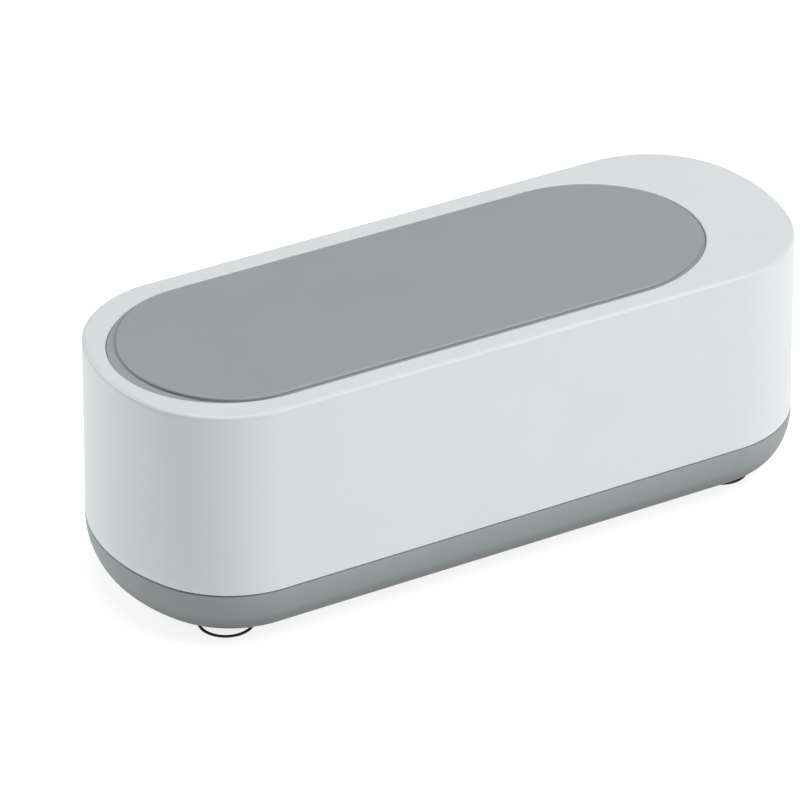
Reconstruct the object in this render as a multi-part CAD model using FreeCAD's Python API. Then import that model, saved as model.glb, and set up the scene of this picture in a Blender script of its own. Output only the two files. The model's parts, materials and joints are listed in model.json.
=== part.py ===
import FreeCAD, Part
import math
import os
from FreeCAD import Vector

# Ultrasonic cleaner for glasses and jewellery, in millimetres, one STEP file for each piece.
# The origin is on the table, under the middle of the casing. +X runs along the casing towards the
# plain deck, where the switch and the inlet are in the end wall. The front is on -Y, and +Z is up.

# ---- Driving dimensions ----

# Heights above the table
BASE_BOTTOM_Z = 2.8
SEAM_Z = 17.4
RIM_Z = 70.8

# Outlines: half width, half length, corner radius, end radius
RIM_OVAL = (38.1, 102.1, 31.3, 55.5)
SEAM_OVAL = (39.7, 103.0, 30.4, 50.7)
WELL_OVAL = (31.7, 87.5, 35.0, 30.0)

# Housing
WALL = 2.3
TOP_THICKNESS = 2.5
RIM_FILLET = 1.2
OPENING_FILLET = 0.4
SEAM_GAP = 0.25
SCREW_BOSS_R = 3.6
SCREW_BOSS_TOP_Z = 25.2
WEB_HALF_THICKNESS = 1.2
WEB_TOP_Z = 34.0

# Lid well, set back from the middle of the casing
WELL_X = -10.2
WELL_WALL = 1.8
LEDGE_WIDTH = 4.0
LEDGE_TOP_Z = 67.4
LEDGE_THICKNESS = 2.2

# Lid: a flange that lies in the well, and a raised panel. The panel follows the well's outline at
# its right end, and at its left end it is blunter and stops shorter.
LID_GAP = 0.15
LID_FLANGE_TOP_Z = 70.4
PANEL_INSET = 0.95
PANEL_LEFT_OVAL = (WELL_OVAL[0] - PANEL_INSET, 85.5, 24.0, 31.9)
PANEL_LEFT_X = -9.2
LID_TOP_Z = 71.3
LID_LIFT_GAP = 0.1
LID_SHEET = 2.4
LID_FILLET = 0.6
LID_FLANGE_FILLET = 0.12
LID_EDGE = 2.0
LID_RIB = 1.4
LID_RIB_INSET = 4.8
LID_CROSS_RIB = 1.2
LID_CROSS_RIB_STEPS = (-42.0, -14.0, 14.0, 42.0)

# Tank, measured inwards from the well's outline
TANK_INSET = 4.7
TANK_SHEET = 0.6
TANK_FLANGE = 4.0
TANK_FLOOR_Z = 26.4
TANK_CORNER_R = 7.0
TANK_LIP_R = 1.2
GASKET_THICKNESS = 1.0
GASKET_SPAN = (1.3, 3.7)
CLAMP_THICKNESS = 2.0
CLAMP_SCREW_STEP = 52.0
CLAMP_SCREW_OUTSET = 2.2
CLAMP_BOSS_R = 2.1
CLAMP_EAR_R = 3.6

# Transducer
PLATE_R = 21.0
PLATE_THICKNESS = 2.0
PIEZO_R = 19.0
PIEZO_THICKNESS = 3.0

# Base tray
BASE_LIP_STRAIGHT = 0.7
BASE_ROUND_WIDTH = 9.4
BASE_FLOOR = 2.4
BASE_INNER_WALL = 3.7
BASE_INNER_ROUND_TOP_Z = 14.0
TONGUE_TOP_Z = 20.4
TONGUE_INSET = 2.5
SEAL_INSET = 0.8
SEAL_WIDTH = 1.0
SEAL_DEPTH = 0.7

# Base screws
BASE_SCREW_X = 60.0
BASE_SCREW_Y = 26.5
BASE_SCREW_R = 1.4
COUNTERBORE_R = 3.0
COUNTERBORE_WALL = 1.3
COUNTERBORE_TOP_Z = 13.4

# Recess for a rating label under the tray
LABEL_SIZE = (64.0, 30.0)
LABEL_DEPTH = 0.35
LABEL_CORNER_R = 2.5

# Feet, closer to the right end than to the left one
FOOT_LEFT_X = -79.1
FOOT_RIGHT_X = 75.4
FOOT_Y = 22.3
FOOT_R = 7.75
FOOT_NECK_R = 2.8
FOOT_BULB_R = 3.5
FOOT_BULB_TOP_Z = 7.4
FOOT_LIP_Z = 0.55
FOOT_HOLLOW_Z = 1.25

# Driver board, lying on posts in the tray
BOARD_THICKNESS = 1.6
DRIVER_X = (30.0, 86.0)
DRIVER_HALF_WIDTH = 19.5
DRIVER_BOTTOM_Z = 8.0
DRIVER_SCREW_INSET = 4.0
BOARD_CORNER_R = 2.0

# Leads of the ceramic and their plug
LEAD_R = 0.65
LEAD_BEND_R = 5.0
PIEZO_PLUG_X = (24.5, 32.5)
PIEZO_PLUG_Y = -9.0
PIEZO_PLUG_Z = 12.9

# Transformer on the driver board
TRANSFORMER_X = 58.0
CORE_WIDTH = 16.0
CORE_DEPTH = 5.0
CORE_FOOT = 1.4
CORE_HEIGHT = 11.2
CORE_YOKE = 2.0
CORE_LEG = 2.2
BOBBIN_HALF_LENGTH = 6.8
BOBBIN_WALL = 0.5
BOBBIN_FLANGE = 0.6
BOBBIN_PIN_R = 0.35
BOBBIN_PIN_Y = 5.4
BOBBIN_PIN_STEP = 3.6

# Control board, upright behind the end wall
CONTROL_X = 94.0
CONTROL_HALF_WIDTH = 14.0
CONTROL_Z = (20.5, 62.5)
CONTROL_SCREW_Y = 11.0
CONTROL_SCREW_Z = 39.0
BUTTON_Z = 48.0
BUTTON_R = 5.4
BUTTON_CLEARANCE = 0.35
BUTTON_DISH_R = 7.6
BUTTON_DISH_DEPTH = 0.8
LENS_Z = 59.5
LENS_R = 1.5

# Push switch between the control board and the button
SWITCH_HEIGHT = 3.5
SWITCH_HALF_WIDTH = 3.0
PLUNGER_R = 1.7

# Inlet: width, height and corner radius of each outline
USB_Z = 29.0
USB_SHELL = (8.94, 3.26, 1.6)
USB_BORE = (8.34, 2.66, 1.3)
USB_SLOT = (9.6, 3.9, 1.9)
USB_POCKET = (12.4, 6.6, 3.2)
USB_POCKET_DEPTH = 1.2
USB_SETBACK = 1.35

# Lead between the two boards, with a plug at each end
HEADER_HALF_WIDTH = 6.0
HEADER_HEIGHT = 6.0
PLUG_HALF_WIDTH = 5.0
PLUG_REACH = 8.4
PLUG_SEAT = 2.0
CONTROL_LEAD_R = 0.6
CONTROL_LEAD_BEND_R = 4.0
LEAD_STEPS = (-3.75, -1.25, 1.25, 3.75)
DRIVER_HEADER_X = 79.5
CONTROL_PLUG_Z = 28.0

UP = Vector(0, 0, 1)
EAST = Vector(1, 0, 0)
ORIGIN = Vector(0, 0, 0)
QUARTER = 4.0 * (math.sqrt(2.0) - 1.0) / 3.0

HOUSING_BOTTOM_Z = SEAM_Z + SEAM_GAP
LEDGE_BOTTOM_Z = LEDGE_TOP_Z - LEDGE_THICKNESS
FLANGE_TOP_Z = LEDGE_BOTTOM_Z - GASKET_THICKNESS
FLANGE_BOTTOM_Z = FLANGE_TOP_Z - TANK_SHEET
CLAMP_BOTTOM_Z = FLANGE_BOTTOM_Z - CLAMP_THICKNESS
BASE_FLOOR_Z = BASE_BOTTOM_Z + BASE_FLOOR
TANK_UNDERSIDE_Z = TANK_FLOOR_Z - TANK_SHEET
PIEZO_UNDERSIDE_Z = TANK_UNDERSIDE_Z - PLATE_THICKNESS - PIEZO_THICKNESS
DRIVER_TOP_Z = DRIVER_BOTTOM_Z + BOARD_THICKNESS
CORE_Z = (DRIVER_TOP_Z + CORE_FOOT, DRIVER_TOP_Z + CORE_FOOT + CORE_HEIGHT)
DRIVER_PLUG_TOP_Z = DRIVER_TOP_Z + PLUG_REACH
CONTROL_BACK_X = CONTROL_X - BOARD_THICKNESS
CONTROL_PLUG_X = CONTROL_BACK_X - PLUG_REACH
SWITCH_TOP_X = CONTROL_X + SWITCH_HEIGHT
BUTTON_BACK_X = SWITCH_TOP_X + 0.8
BEYOND_X = 110.0


# ---- Outlines and sections ----

def oval_segments(oval, offset=0.0, middle_x=0.0):
    """Straight sides, corner arcs and end arcs, tangent to each other, anticlockwise."""
    half_width, half_length, corner_r, end_r = oval
    corner_y = half_width - corner_r
    end_x = half_length - end_r
    reach = math.sqrt((end_r - corner_r) ** 2 - corner_y ** 2)
    corner_x = end_x + math.copysign(reach, end_r - corner_r)
    turn = math.degrees(math.atan2(abs(corner_y), reach))
    side = half_width + offset
    corner = corner_r + offset
    end = end_r + offset
    left, right = middle_x - corner_x, middle_x + corner_x
    return [
        ("line", (left, -side), (right, -side)),
        ("arc", (right, -corner_y), corner, -90.0, -turn),
        ("arc", (middle_x + end_x, 0.0), end, -turn, turn),
        ("arc", (right, corner_y), corner, turn, 90.0),
        ("line", (right, side), (left, side)),
        ("arc", (left, corner_y), corner, 90.0, 180.0 - turn),
        ("arc", (middle_x - end_x, 0.0), end, 180.0 - turn, 180.0 + turn),
        ("arc", (left, -corner_y), corner, 180.0 + turn, 270.0),
    ]


def well_segments(offset=0.0):
    """The outline of the well that the lid lies in, and of what follows it inwards or outwards."""
    return oval_segments(WELL_OVAL, offset, WELL_X)


def panel_segments():
    left_end = oval_segments(PANEL_LEFT_OVAL, 0.0, PANEL_LEFT_X)
    right_end = well_segments(-PANEL_INSET)
    lower = ("line", left_end[0][1], right_end[0][2])
    upper = ("line", right_end[4][1], left_end[4][2])
    return [lower] + right_end[1:4] + [upper] + left_end[5:]


def outline_wire(segments, z):
    edges = []
    for segment in segments:
        if segment[0] == "line":
            start, end = (Vector(x, y, z) for x, y in segment[1:])
            edges.append(Part.makeLine(start, end))
        else:
            (x, y), radius, start_deg, end_deg = segment[1:]
            edges.append(Part.makeCircle(radius, Vector(x, y, z), UP, start_deg, end_deg))
    return Part.Wire(edges)


def plate(segments, z_low, z_high):
    return Part.Face(outline_wire(segments, z_low)).extrude(Vector(0, 0, z_high - z_low))


def polygon_section(points):
    """A section in XZ, with x measured outwards."""
    corners = [Vector(x, 0, z) for x, z in points]
    return Part.Face(Part.makePolygon(corners + corners[:1]))


def quarter_round(start, corner, end):
    """A quarter of an ellipse between two points, with its tangents meeting at the corner."""
    poles = [start, start + (corner - start) * QUARTER, end + (corner - end) * QUARTER, end]
    curve = Part.BezierCurve()
    curve.setPoles(poles)
    return curve.toShape()


def mixed_section(points):
    """A section in XZ. A point given as (x, z, "corner") is rounded off by a quarter ellipse."""
    edges = []
    count = len(points)
    position = 0
    while position < count:
        here = points[position]
        following = points[(position + 1) % count]
        start = Vector(here[0], 0, here[1])
        if len(following) == 3:
            after = points[(position + 2) % count]
            corner = Vector(following[0], 0, following[1])
            end = Vector(after[0], 0, after[1])
            edges.append(quarter_round(start, corner, end))
            position += 2
        else:
            edges.append(Part.makeLine(start, Vector(following[0], 0, following[1])))
            position += 1
    return Part.Face(Part.Wire(edges))


def ring(segments, section):
    """Carry a section round an outline: x in the section runs outwards from the outline."""
    pieces = []
    for segment in segments:
        face = section.copy()
        if segment[0] == "line":
            start, end = (Vector(x, y, 0) for x, y in segment[1:])
            outward = (end - start).cross(UP)
            face.rotate(ORIGIN, UP, math.degrees(math.atan2(outward.y, outward.x)))
            face.translate(start)
            pieces.append(face.extrude(end - start))
        else:
            (x, y), radius, start_deg, end_deg = segment[1:]
            face.translate(Vector(radius, 0, 0))
            face.rotate(ORIGIN, UP, start_deg)
            face.translate(Vector(x, y, 0))
            pieces.append(face.revolve(Vector(x, y, 0), UP, end_deg - start_deg))
    return fused(pieces)


# ---- Simple solids ----

def fused(shapes):
    return shapes[0].multiFuse(shapes[1:]).removeSplitter()


def block(x_range, y_range, z_range):
    size = [high - low for low, high in (x_range, y_range, z_range)]
    return Part.makeBox(*size, Vector(x_range[0], y_range[0], z_range[0]))


def upright(x, y, z_low, z_high, radius):
    return Part.makeCylinder(radius, z_high - z_low, Vector(x, y, z_low), UP)


def lengthwise(y, z, x_low, x_high, radius):
    return Part.makeCylinder(radius, x_high - x_low, Vector(x_low, y, z), EAST)


def turned(points, centre):
    """A solid of revolution about a vertical axis, from (radius, z) points."""
    solid = mixed_section(points).revolve(ORIGIN, UP, 360)
    return solid.translated(centre)


def rounded_slot(x_range, y, z, width, height, radius):
    """A bar along X whose YZ section is a rectangle with round corners."""
    bar = block(x_range, (y - width / 2, y + width / 2), (z - height / 2, z + height / 2))
    return bar.makeFillet(radius, edges_along(bar, EAST))


def edges_along(shape, direction):
    return [edge for edge in shape.Edges if abs(edge.tangentAt(edge.FirstParameter).dot(direction)) > 0.99]


def edges_at_z(shape, z):
    return [edge for edge in shape.Edges if all(abs(v.Z - z) < 1e-4 for v in edge.Vertexes)]


def tapping_screw(point, direction, head_r, head_height, shank_r, length):
    """A pan head screw with a cross recess, its head standing off the seat against the direction."""
    head = turned([(0.0, -head_height), (head_r * 0.55, -head_height),
                   (head_r, -head_height, "corner"), (head_r, -head_height * 0.35),
                   (head_r, 0.0), (0.0, 0.0)], ORIGIN)
    tip = shank_r * 1.2
    shank = Part.makeCylinder(shank_r, length - tip, ORIGIN, UP)
    point_cone = Part.makeCone(shank_r, shank_r * 0.35, tip, Vector(0, 0, length - tip), UP)
    arm = head_r * 0.55
    slot = head_r * 0.13
    depth = (-head_height - 1.0, -head_height * 0.45)
    cross = fused([block((-arm, arm), (-slot, slot), depth), block((-slot, slot), (-arm, arm), depth)])
    screw = fused([head, shank, point_cone]).cut(cross)
    screw.Placement = FreeCAD.Placement(point, FreeCAD.Rotation(UP, direction))
    return screw


def wire_lead(points, radius, bend_r):
    """A round lead: straight runs joined by tangent arcs of one radius."""
    edges = []
    start = points[0]
    for position in range(1, len(points) - 1):
        corner = points[position]
        inward = (points[position - 1] - corner).normalize()
        outward = (points[position + 1] - corner).normalize()
        half_angle = inward.getAngle(outward) / 2.0
        setback = bend_r / math.tan(half_angle)
        bend_start = corner + inward * setback
        bend_end = corner + outward * setback
        middle_direction = (inward + outward).normalize()
        middle = corner + middle_direction * (bend_r / math.sin(half_angle) - bend_r)
        edges.append(Part.makeLine(start, bend_start))
        edges.append(Part.Arc(bend_start, middle, bend_end).toShape())
        start = bend_end
    edges.append(Part.makeLine(start, points[-1]))
    profile = Part.Wire(Part.makeCircle(radius, points[0], points[1] - points[0]))
    return Part.Wire(edges).makePipeShell([profile], True, False)


def mirrored_pairs(x_values, y):
    return [(x, side * y) for x in x_values for side in (-1, 1)]


def clamp_screw_spots():
    steps = [WELL_X + step for step in (-CLAMP_SCREW_STEP, 0.0, CLAMP_SCREW_STEP)]
    end_spot = (WELL_X + WELL_OVAL[1] + CLAMP_SCREW_OUTSET, 0.0)
    return mirrored_pairs(steps, WELL_OVAL[0] + CLAMP_SCREW_OUTSET) + [end_spot]


def base_screw_spots():
    return mirrored_pairs((-BASE_SCREW_X, BASE_SCREW_X), BASE_SCREW_Y)


def foot_spots():
    return mirrored_pairs((FOOT_LEFT_X, FOOT_RIGHT_X), FOOT_Y)


def driver_screw_spots():
    x_low, x_high = DRIVER_X
    columns = (x_low + DRIVER_SCREW_INSET, x_high - DRIVER_SCREW_INSET)
    return mirrored_pairs(columns, DRIVER_HALF_WIDTH - DRIVER_SCREW_INSET)


def end_wall_x(z):
    """Outer face of the end wall at its middle, at a height."""
    share = (RIM_Z - z) / (RIM_Z - SEAM_Z)
    return RIM_OVAL[1] + share * (SEAM_OVAL[1] - RIM_OVAL[1])


# ---- Casing ----

def casing_loft(offset, z_low, z_high):
    wires = [
        outline_wire(oval_segments(SEAM_OVAL, offset), z_low),
        outline_wire(oval_segments(RIM_OVAL, offset), z_high),
    ]
    return Part.makeLoft(wires, True, True)


def screw_boss_with_web(x, y):
    side = math.copysign(1.0, y)
    wall_y = SEAM_OVAL[0] - WALL + 0.6
    web_x = (x - WEB_HALF_THICKNESS, x + WEB_HALF_THICKNESS)
    low_web = sorted((y, side * wall_y))
    high_web = sorted((y + side * SCREW_BOSS_R, side * wall_y))
    return [
        upright(x, y, HOUSING_BOTTOM_Z, SCREW_BOSS_TOP_Z, SCREW_BOSS_R),
        block(web_x, low_web, (TONGUE_TOP_Z + 0.4, SCREW_BOSS_TOP_Z)),
        block(web_x, high_web, (SCREW_BOSS_TOP_Z, WEB_TOP_Z)),
    ]


def end_wall_cuts():
    """Holes through the end wall for the button, the lamp and the inlet, with a dish and a pocket."""
    inside = CONTROL_X + 4.0
    dish_x = end_wall_x(BUTTON_Z) - BUTTON_DISH_DEPTH
    pocket_x = end_wall_x(USB_Z) - USB_POCKET_DEPTH
    return [
        lengthwise(0, BUTTON_Z, inside, BEYOND_X, BUTTON_R + BUTTON_CLEARANCE),
        lengthwise(0, BUTTON_Z, dish_x, BEYOND_X, BUTTON_DISH_R),
        lengthwise(0, LENS_Z, inside, BEYOND_X, LENS_R + 0.1),
        rounded_slot((inside, BEYOND_X), 0, USB_Z, *USB_SLOT),
        rounded_slot((pocket_x, BEYOND_X), 0, USB_Z, *USB_POCKET),
    ]


def make_housing():
    shell = casing_loft(0.0, HOUSING_BOTTOM_Z, RIM_Z)
    shell = shell.makeFillet(RIM_FILLET, edges_at_z(shell, RIM_Z))
    shell = shell.cut(casing_loft(-WALL, HOUSING_BOTTOM_Z, RIM_Z - TOP_THICKNESS))
    shell = shell.cut(plate(well_segments(), RIM_Z - 2 * TOP_THICKNESS, RIM_Z + 1))
    opening = [edge for edge in edges_at_z(shell, RIM_Z)
               if edge.BoundBox.YMax < WELL_OVAL[0] + 0.01
               and edge.BoundBox.XMax < WELL_X + WELL_OVAL[1] + 0.01]
    shell = shell.makeFillet(OPENING_FILLET, opening)

    plate_bottom = RIM_Z - TOP_THICKNESS
    well = ring(well_segments(), polygon_section([
        (-LEDGE_WIDTH, LEDGE_BOTTOM_Z), (WELL_WALL, LEDGE_BOTTOM_Z), (WELL_WALL, plate_bottom + 0.1),
        (0.0, plate_bottom + 0.1), (0.0, LEDGE_TOP_Z), (-LEDGE_WIDTH, LEDGE_TOP_Z)]))
    solids = [shell, well]
    for x, y in clamp_screw_spots():
        solids.append(upright(x, y, FLANGE_BOTTOM_Z + 0.1, plate_bottom + 0.1, CLAMP_BOSS_R))
    for x, y in base_screw_spots():
        solids.extend(screw_boss_with_web(x, y))
    wall_inside = end_wall_x(CONTROL_SCREW_Z) - WALL
    for side in (-1, 1):
        solids.append(lengthwise(side * CONTROL_SCREW_Y, CONTROL_SCREW_Z, CONTROL_X, wall_inside, 2.6))
    housing = fused(solids)

    cuts = [upright(x, y, CLAMP_BOTTOM_Z, plate_bottom - 0.2, 1.0) for x, y in clamp_screw_spots()]
    cuts += [upright(x, y, SEAM_Z, SCREW_BOSS_TOP_Z - 0.8, BASE_SCREW_R) for x, y in base_screw_spots()]
    for side in (-1, 1):
        cuts.append(lengthwise(side * CONTROL_SCREW_Y, CONTROL_SCREW_Z, CONTROL_X - 1, CONTROL_X + 5, 1.0))
    return housing.cut(fused(cuts + end_wall_cuts()))


def make_lid():
    bottom = LEDGE_TOP_Z + LID_LIFT_GAP
    sheet_bottom = LID_TOP_Z - LID_SHEET
    flange = plate(well_segments(-LID_GAP), bottom, LID_FLANGE_TOP_Z)
    flange = flange.makeFillet(LID_FLANGE_FILLET, edges_at_z(flange, LID_FLANGE_TOP_Z))
    flange = flange.cut(plate(well_segments(-LID_GAP - LID_EDGE), bottom - 1, sheet_bottom))
    panel = plate(panel_segments(), sheet_bottom + 0.2, LID_TOP_Z)
    panel = panel.makeFillet(LID_FILLET, edges_at_z(panel, LID_TOP_Z))
    rib = ring(well_segments(-LID_RIB_INSET), polygon_section([
        (-LID_RIB, LEDGE_BOTTOM_Z - 0.1), (0.0, LEDGE_BOTTOM_Z - 0.1),
        (0.0, sheet_bottom + 0.1), (-LID_RIB, sheet_bottom + 0.1)]))
    solids = [flange, panel, rib]
    half_span = WELL_OVAL[0] - LID_RIB_INSET - LID_RIB / 2
    for step in LID_CROSS_RIB_STEPS:
        x_range = (WELL_X + step - LID_CROSS_RIB / 2, WELL_X + step + LID_CROSS_RIB / 2)
        solids.append(block(x_range, (-half_span, half_span), (LEDGE_TOP_Z, sheet_bottom + 0.1)))
    return fused(solids)


def make_base_tray():
    round_top = SEAM_Z - BASE_LIP_STRAIGHT
    seal_outer = -SEAL_INSET
    seal_inner = -SEAL_INSET - SEAL_WIDTH
    floor_inset = BASE_ROUND_WIDTH + 2
    edge = 0.35
    section = mixed_section([
        (-edge, SEAM_Z), (seal_outer, SEAM_Z), (seal_outer, SEAM_Z - SEAL_DEPTH),
        (seal_inner, SEAM_Z - SEAL_DEPTH), (seal_inner, SEAM_Z), (-TONGUE_INSET, SEAM_Z),
        (-TONGUE_INSET, TONGUE_TOP_Z), (-BASE_INNER_WALL, TONGUE_TOP_Z),
        (-BASE_INNER_WALL, BASE_INNER_ROUND_TOP_Z), (-BASE_INNER_WALL, BASE_FLOOR_Z, "corner"),
        (-BASE_ROUND_WIDTH, BASE_FLOOR_Z), (-floor_inset, BASE_FLOOR_Z),
        (-floor_inset, BASE_BOTTOM_Z), (-BASE_ROUND_WIDTH, BASE_BOTTOM_Z),
        (0.0, BASE_BOTTOM_Z, "corner"), (0.0, round_top), (0.0, SEAM_Z - edge), (0.0, SEAM_Z, "corner")])
    floor = plate(oval_segments(SEAM_OVAL, -BASE_ROUND_WIDTH - 1), BASE_BOTTOM_Z, BASE_FLOOR_Z)
    solids = [ring(oval_segments(SEAM_OVAL), section), floor]
    for x, y in base_screw_spots():
        solids.append(upright(x, y, BASE_BOTTOM_Z + 0.5, SEAM_Z, COUNTERBORE_R + COUNTERBORE_WALL))
    for x, y in driver_screw_spots():
        solids.append(upright(x, y, BASE_FLOOR_Z - 0.5, DRIVER_BOTTOM_Z, 2.8))
    for x in (-65.0, -40.0, -15.0):
        solids.append(block((x - 0.7, x + 0.7), (-26.0, 26.0), (BASE_FLOOR_Z - 0.5, BASE_FLOOR_Z + 2.0)))
    tray = fused(solids)

    cuts = []
    for x, y in base_screw_spots():
        cuts.append(upright(x, y, 0, COUNTERBORE_TOP_Z, COUNTERBORE_R))
        cuts.append(upright(x, y, 0, SEAM_Z + 1, BASE_SCREW_R + 0.2))
    for x, y in driver_screw_spots():
        cuts.append(upright(x, y, BASE_BOTTOM_Z + 1.2, DRIVER_BOTTOM_Z + 1, 1.1))
    for x, y in foot_spots():
        cuts.append(upright(x, y, 0, BASE_FLOOR_Z + 1, FOOT_NECK_R + 0.1))
    half_length, half_width = LABEL_SIZE[0] / 2, LABEL_SIZE[1] / 2
    recess = block((-half_length, half_length), (-half_width, half_width), (0, BASE_BOTTOM_Z + LABEL_DEPTH))
    cuts.append(recess.makeFillet(LABEL_CORNER_R, edges_along(recess, UP)))
    return tray.cut(fused(cuts))


def make_base_seal():
    return ring(oval_segments(SEAM_OVAL), polygon_section([
        (-SEAL_INSET - SEAL_WIDTH, SEAM_Z - SEAL_DEPTH), (-SEAL_INSET, SEAM_Z - SEAL_DEPTH),
        (-SEAL_INSET, HOUSING_BOTTOM_Z), (-SEAL_INSET - SEAL_WIDTH, HOUSING_BOTTOM_Z)]))


def make_base_screws():
    screws = []
    for x, y in base_screw_spots():
        seat = Vector(x, y, COUNTERBORE_TOP_Z)
        screws.append(tapping_screw(seat, UP, 2.7, 2.0, BASE_SCREW_R, 10.5))
    return Part.makeCompound(screws)


def make_foot(x, y):
    """A clear cup: a bulb through the tray's floor, a neck, and a thin flared lip on the table."""
    bulb = FOOT_BULB_R
    top = FOOT_BULB_TOP_Z
    return turned([
        (0.0, top), (bulb - 2.2, top), (bulb, top - 0.6, "corner"), (bulb, top - 1.8),
        (bulb, BASE_FLOOR_Z + 0.05), (FOOT_NECK_R, BASE_FLOOR_Z + 0.05), (FOOT_NECK_R, BASE_BOTTOM_Z),
        (bulb + 0.4, BASE_BOTTOM_Z), (bulb + 1.1, 0.9, "corner"), (FOOT_R, FOOT_LIP_Z),
        (FOOT_R + 0.12, 0.0, "corner"), (FOOT_R - 0.35, 0.0), (FOOT_R - 1.3, 0.0),
        (bulb + 0.1, FOOT_HOLLOW_Z, "corner"), (0.0, FOOT_HOLLOW_Z)], Vector(x, y, 0))


# ---- Tank and transducer ----

def make_tank():
    lip = TANK_LIP_R
    sheet = TANK_SHEET
    corner = TANK_CORNER_R
    wall_foot = TANK_FLOOR_Z + corner
    section = mixed_section([
        (TANK_FLANGE, FLANGE_TOP_Z), (lip, FLANGE_TOP_Z), (0.0, FLANGE_TOP_Z, "corner"),
        (0.0, FLANGE_TOP_Z - lip), (0.0, wall_foot), (0.0, TANK_FLOOR_Z, "corner"),
        (-corner, TANK_FLOOR_Z), (-corner - 2, TANK_FLOOR_Z), (-corner - 2, TANK_UNDERSIDE_Z),
        (-corner, TANK_UNDERSIDE_Z), (sheet, TANK_UNDERSIDE_Z, "corner"), (sheet, wall_foot),
        (sheet, FLANGE_TOP_Z - lip), (sheet, FLANGE_BOTTOM_Z, "corner"), (lip, FLANGE_BOTTOM_Z),
        (TANK_FLANGE, FLANGE_BOTTOM_Z)])
    walls = ring(well_segments(-TANK_INSET), section)
    floor = plate(well_segments(-TANK_INSET - corner - 1), TANK_UNDERSIDE_Z, TANK_FLOOR_Z)
    return fused([walls, floor])


def make_tank_gasket():
    inner, outer = GASKET_SPAN
    return ring(well_segments(-TANK_INSET), polygon_section([
        (inner, FLANGE_TOP_Z), (outer, FLANGE_TOP_Z), (outer, LEDGE_BOTTOM_Z), (inner, LEDGE_BOTTOM_Z)]))


def make_tank_clamp_frame():
    frame = plate(well_segments(1.0), CLAMP_BOTTOM_Z, FLANGE_BOTTOM_Z)
    ears = [upright(x, y, CLAMP_BOTTOM_Z, FLANGE_BOTTOM_Z, CLAMP_EAR_R) for x, y in clamp_screw_spots()]
    frame = fused([frame] + ears)
    frame = frame.cut(plate(well_segments(1.6 - TANK_INSET), CLAMP_BOTTOM_Z - 1, FLANGE_BOTTOM_Z + 1))
    inside = plate(oval_segments(RIM_OVAL, -WALL), CLAMP_BOTTOM_Z - 1, FLANGE_BOTTOM_Z + 1)
    frame = frame.common(inside)
    holes = [upright(x, y, CLAMP_BOTTOM_Z - 1, FLANGE_BOTTOM_Z + 1, 1.1) for x, y in clamp_screw_spots()]
    return frame.cut(fused(holes))


def make_tank_clamp_screws():
    screws = []
    for x, y in clamp_screw_spots():
        screws.append(tapping_screw(Vector(x, y, CLAMP_BOTTOM_Z), UP, 1.85, 1.3, 1.0, 6.0))
    return Part.makeCompound(screws)


def make_transducer_plate():
    low = TANK_UNDERSIDE_Z - PLATE_THICKNESS
    disc = upright(WELL_X, 0, low, TANK_UNDERSIDE_Z, PLATE_R)
    return disc.makeChamfer(0.4, edges_at_z(disc, low))


def make_piezo_disc():
    high = TANK_UNDERSIDE_Z - PLATE_THICKNESS
    disc = upright(WELL_X, 0, high - PIEZO_THICKNESS, high, PIEZO_R)
    return disc.makeFillet(0.3, edges_at_z(disc, high - PIEZO_THICKNESS))


def make_piezo_lead(solder_x, solder_y, pin_y):
    """From the solder joint under the ceramic, down and along to the plug."""
    top = PIEZO_UNDERSIDE_Z - LEAD_R
    return wire_lead([
        Vector(solder_x, solder_y, top), Vector(8, solder_y, top),
        Vector(17, pin_y, PIEZO_PLUG_Z), Vector(PIEZO_PLUG_X[0], pin_y, PIEZO_PLUG_Z)],
        LEAD_R, LEAD_BEND_R)


def make_piezo_plug():
    body = block(PIEZO_PLUG_X, (PIEZO_PLUG_Y - 3, PIEZO_PLUG_Y + 3), (PIEZO_PLUG_Z - 2, PIEZO_PLUG_Z + 2))
    latch = block((27, 32), (PIEZO_PLUG_Y - 1.2, PIEZO_PLUG_Y + 1.2), (PIEZO_PLUG_Z + 2, PIEZO_PLUG_Z + 2.5))
    return fused([body, latch])


def make_piezo_header():
    body = block((30, 37), (PIEZO_PLUG_Y - 4, PIEZO_PLUG_Y + 4), (DRIVER_TOP_Z, PIEZO_PLUG_Z + 3.4))
    pocket = block((29, 33.5), (PIEZO_PLUG_Y - 3.1, PIEZO_PLUG_Y + 3.1),
                   (PIEZO_PLUG_Z - 2.1, PIEZO_PLUG_Z + 2.6))
    return body.cut(pocket)


# ---- Driver board ----

def bobbin_pin_spots():
    return mirrored_pairs([TRANSFORMER_X + step for step in (-BOBBIN_PIN_STEP, 0.0, BOBBIN_PIN_STEP)],
                          BOBBIN_PIN_Y)


def make_driver_board():
    board = block(DRIVER_X, (-DRIVER_HALF_WIDTH, DRIVER_HALF_WIDTH), (DRIVER_BOTTOM_Z, DRIVER_TOP_Z))
    board = board.makeFillet(BOARD_CORNER_R, edges_along(board, UP))
    holes = [upright(x, y, 0, 20, 1.4) for x, y in driver_screw_spots()]
    holes += [upright(x, y, 0, 20, BOBBIN_PIN_R + 0.1) for x, y in bobbin_pin_spots()]
    return board.cut(fused(holes))


def make_driver_board_screws():
    screws = []
    for x, y in driver_screw_spots():
        screws.append(tapping_screw(Vector(x, y, DRIVER_TOP_Z), UP * -1, 2.2, 1.5, 1.1, 5.2))
    return Part.makeCompound(screws)


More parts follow.
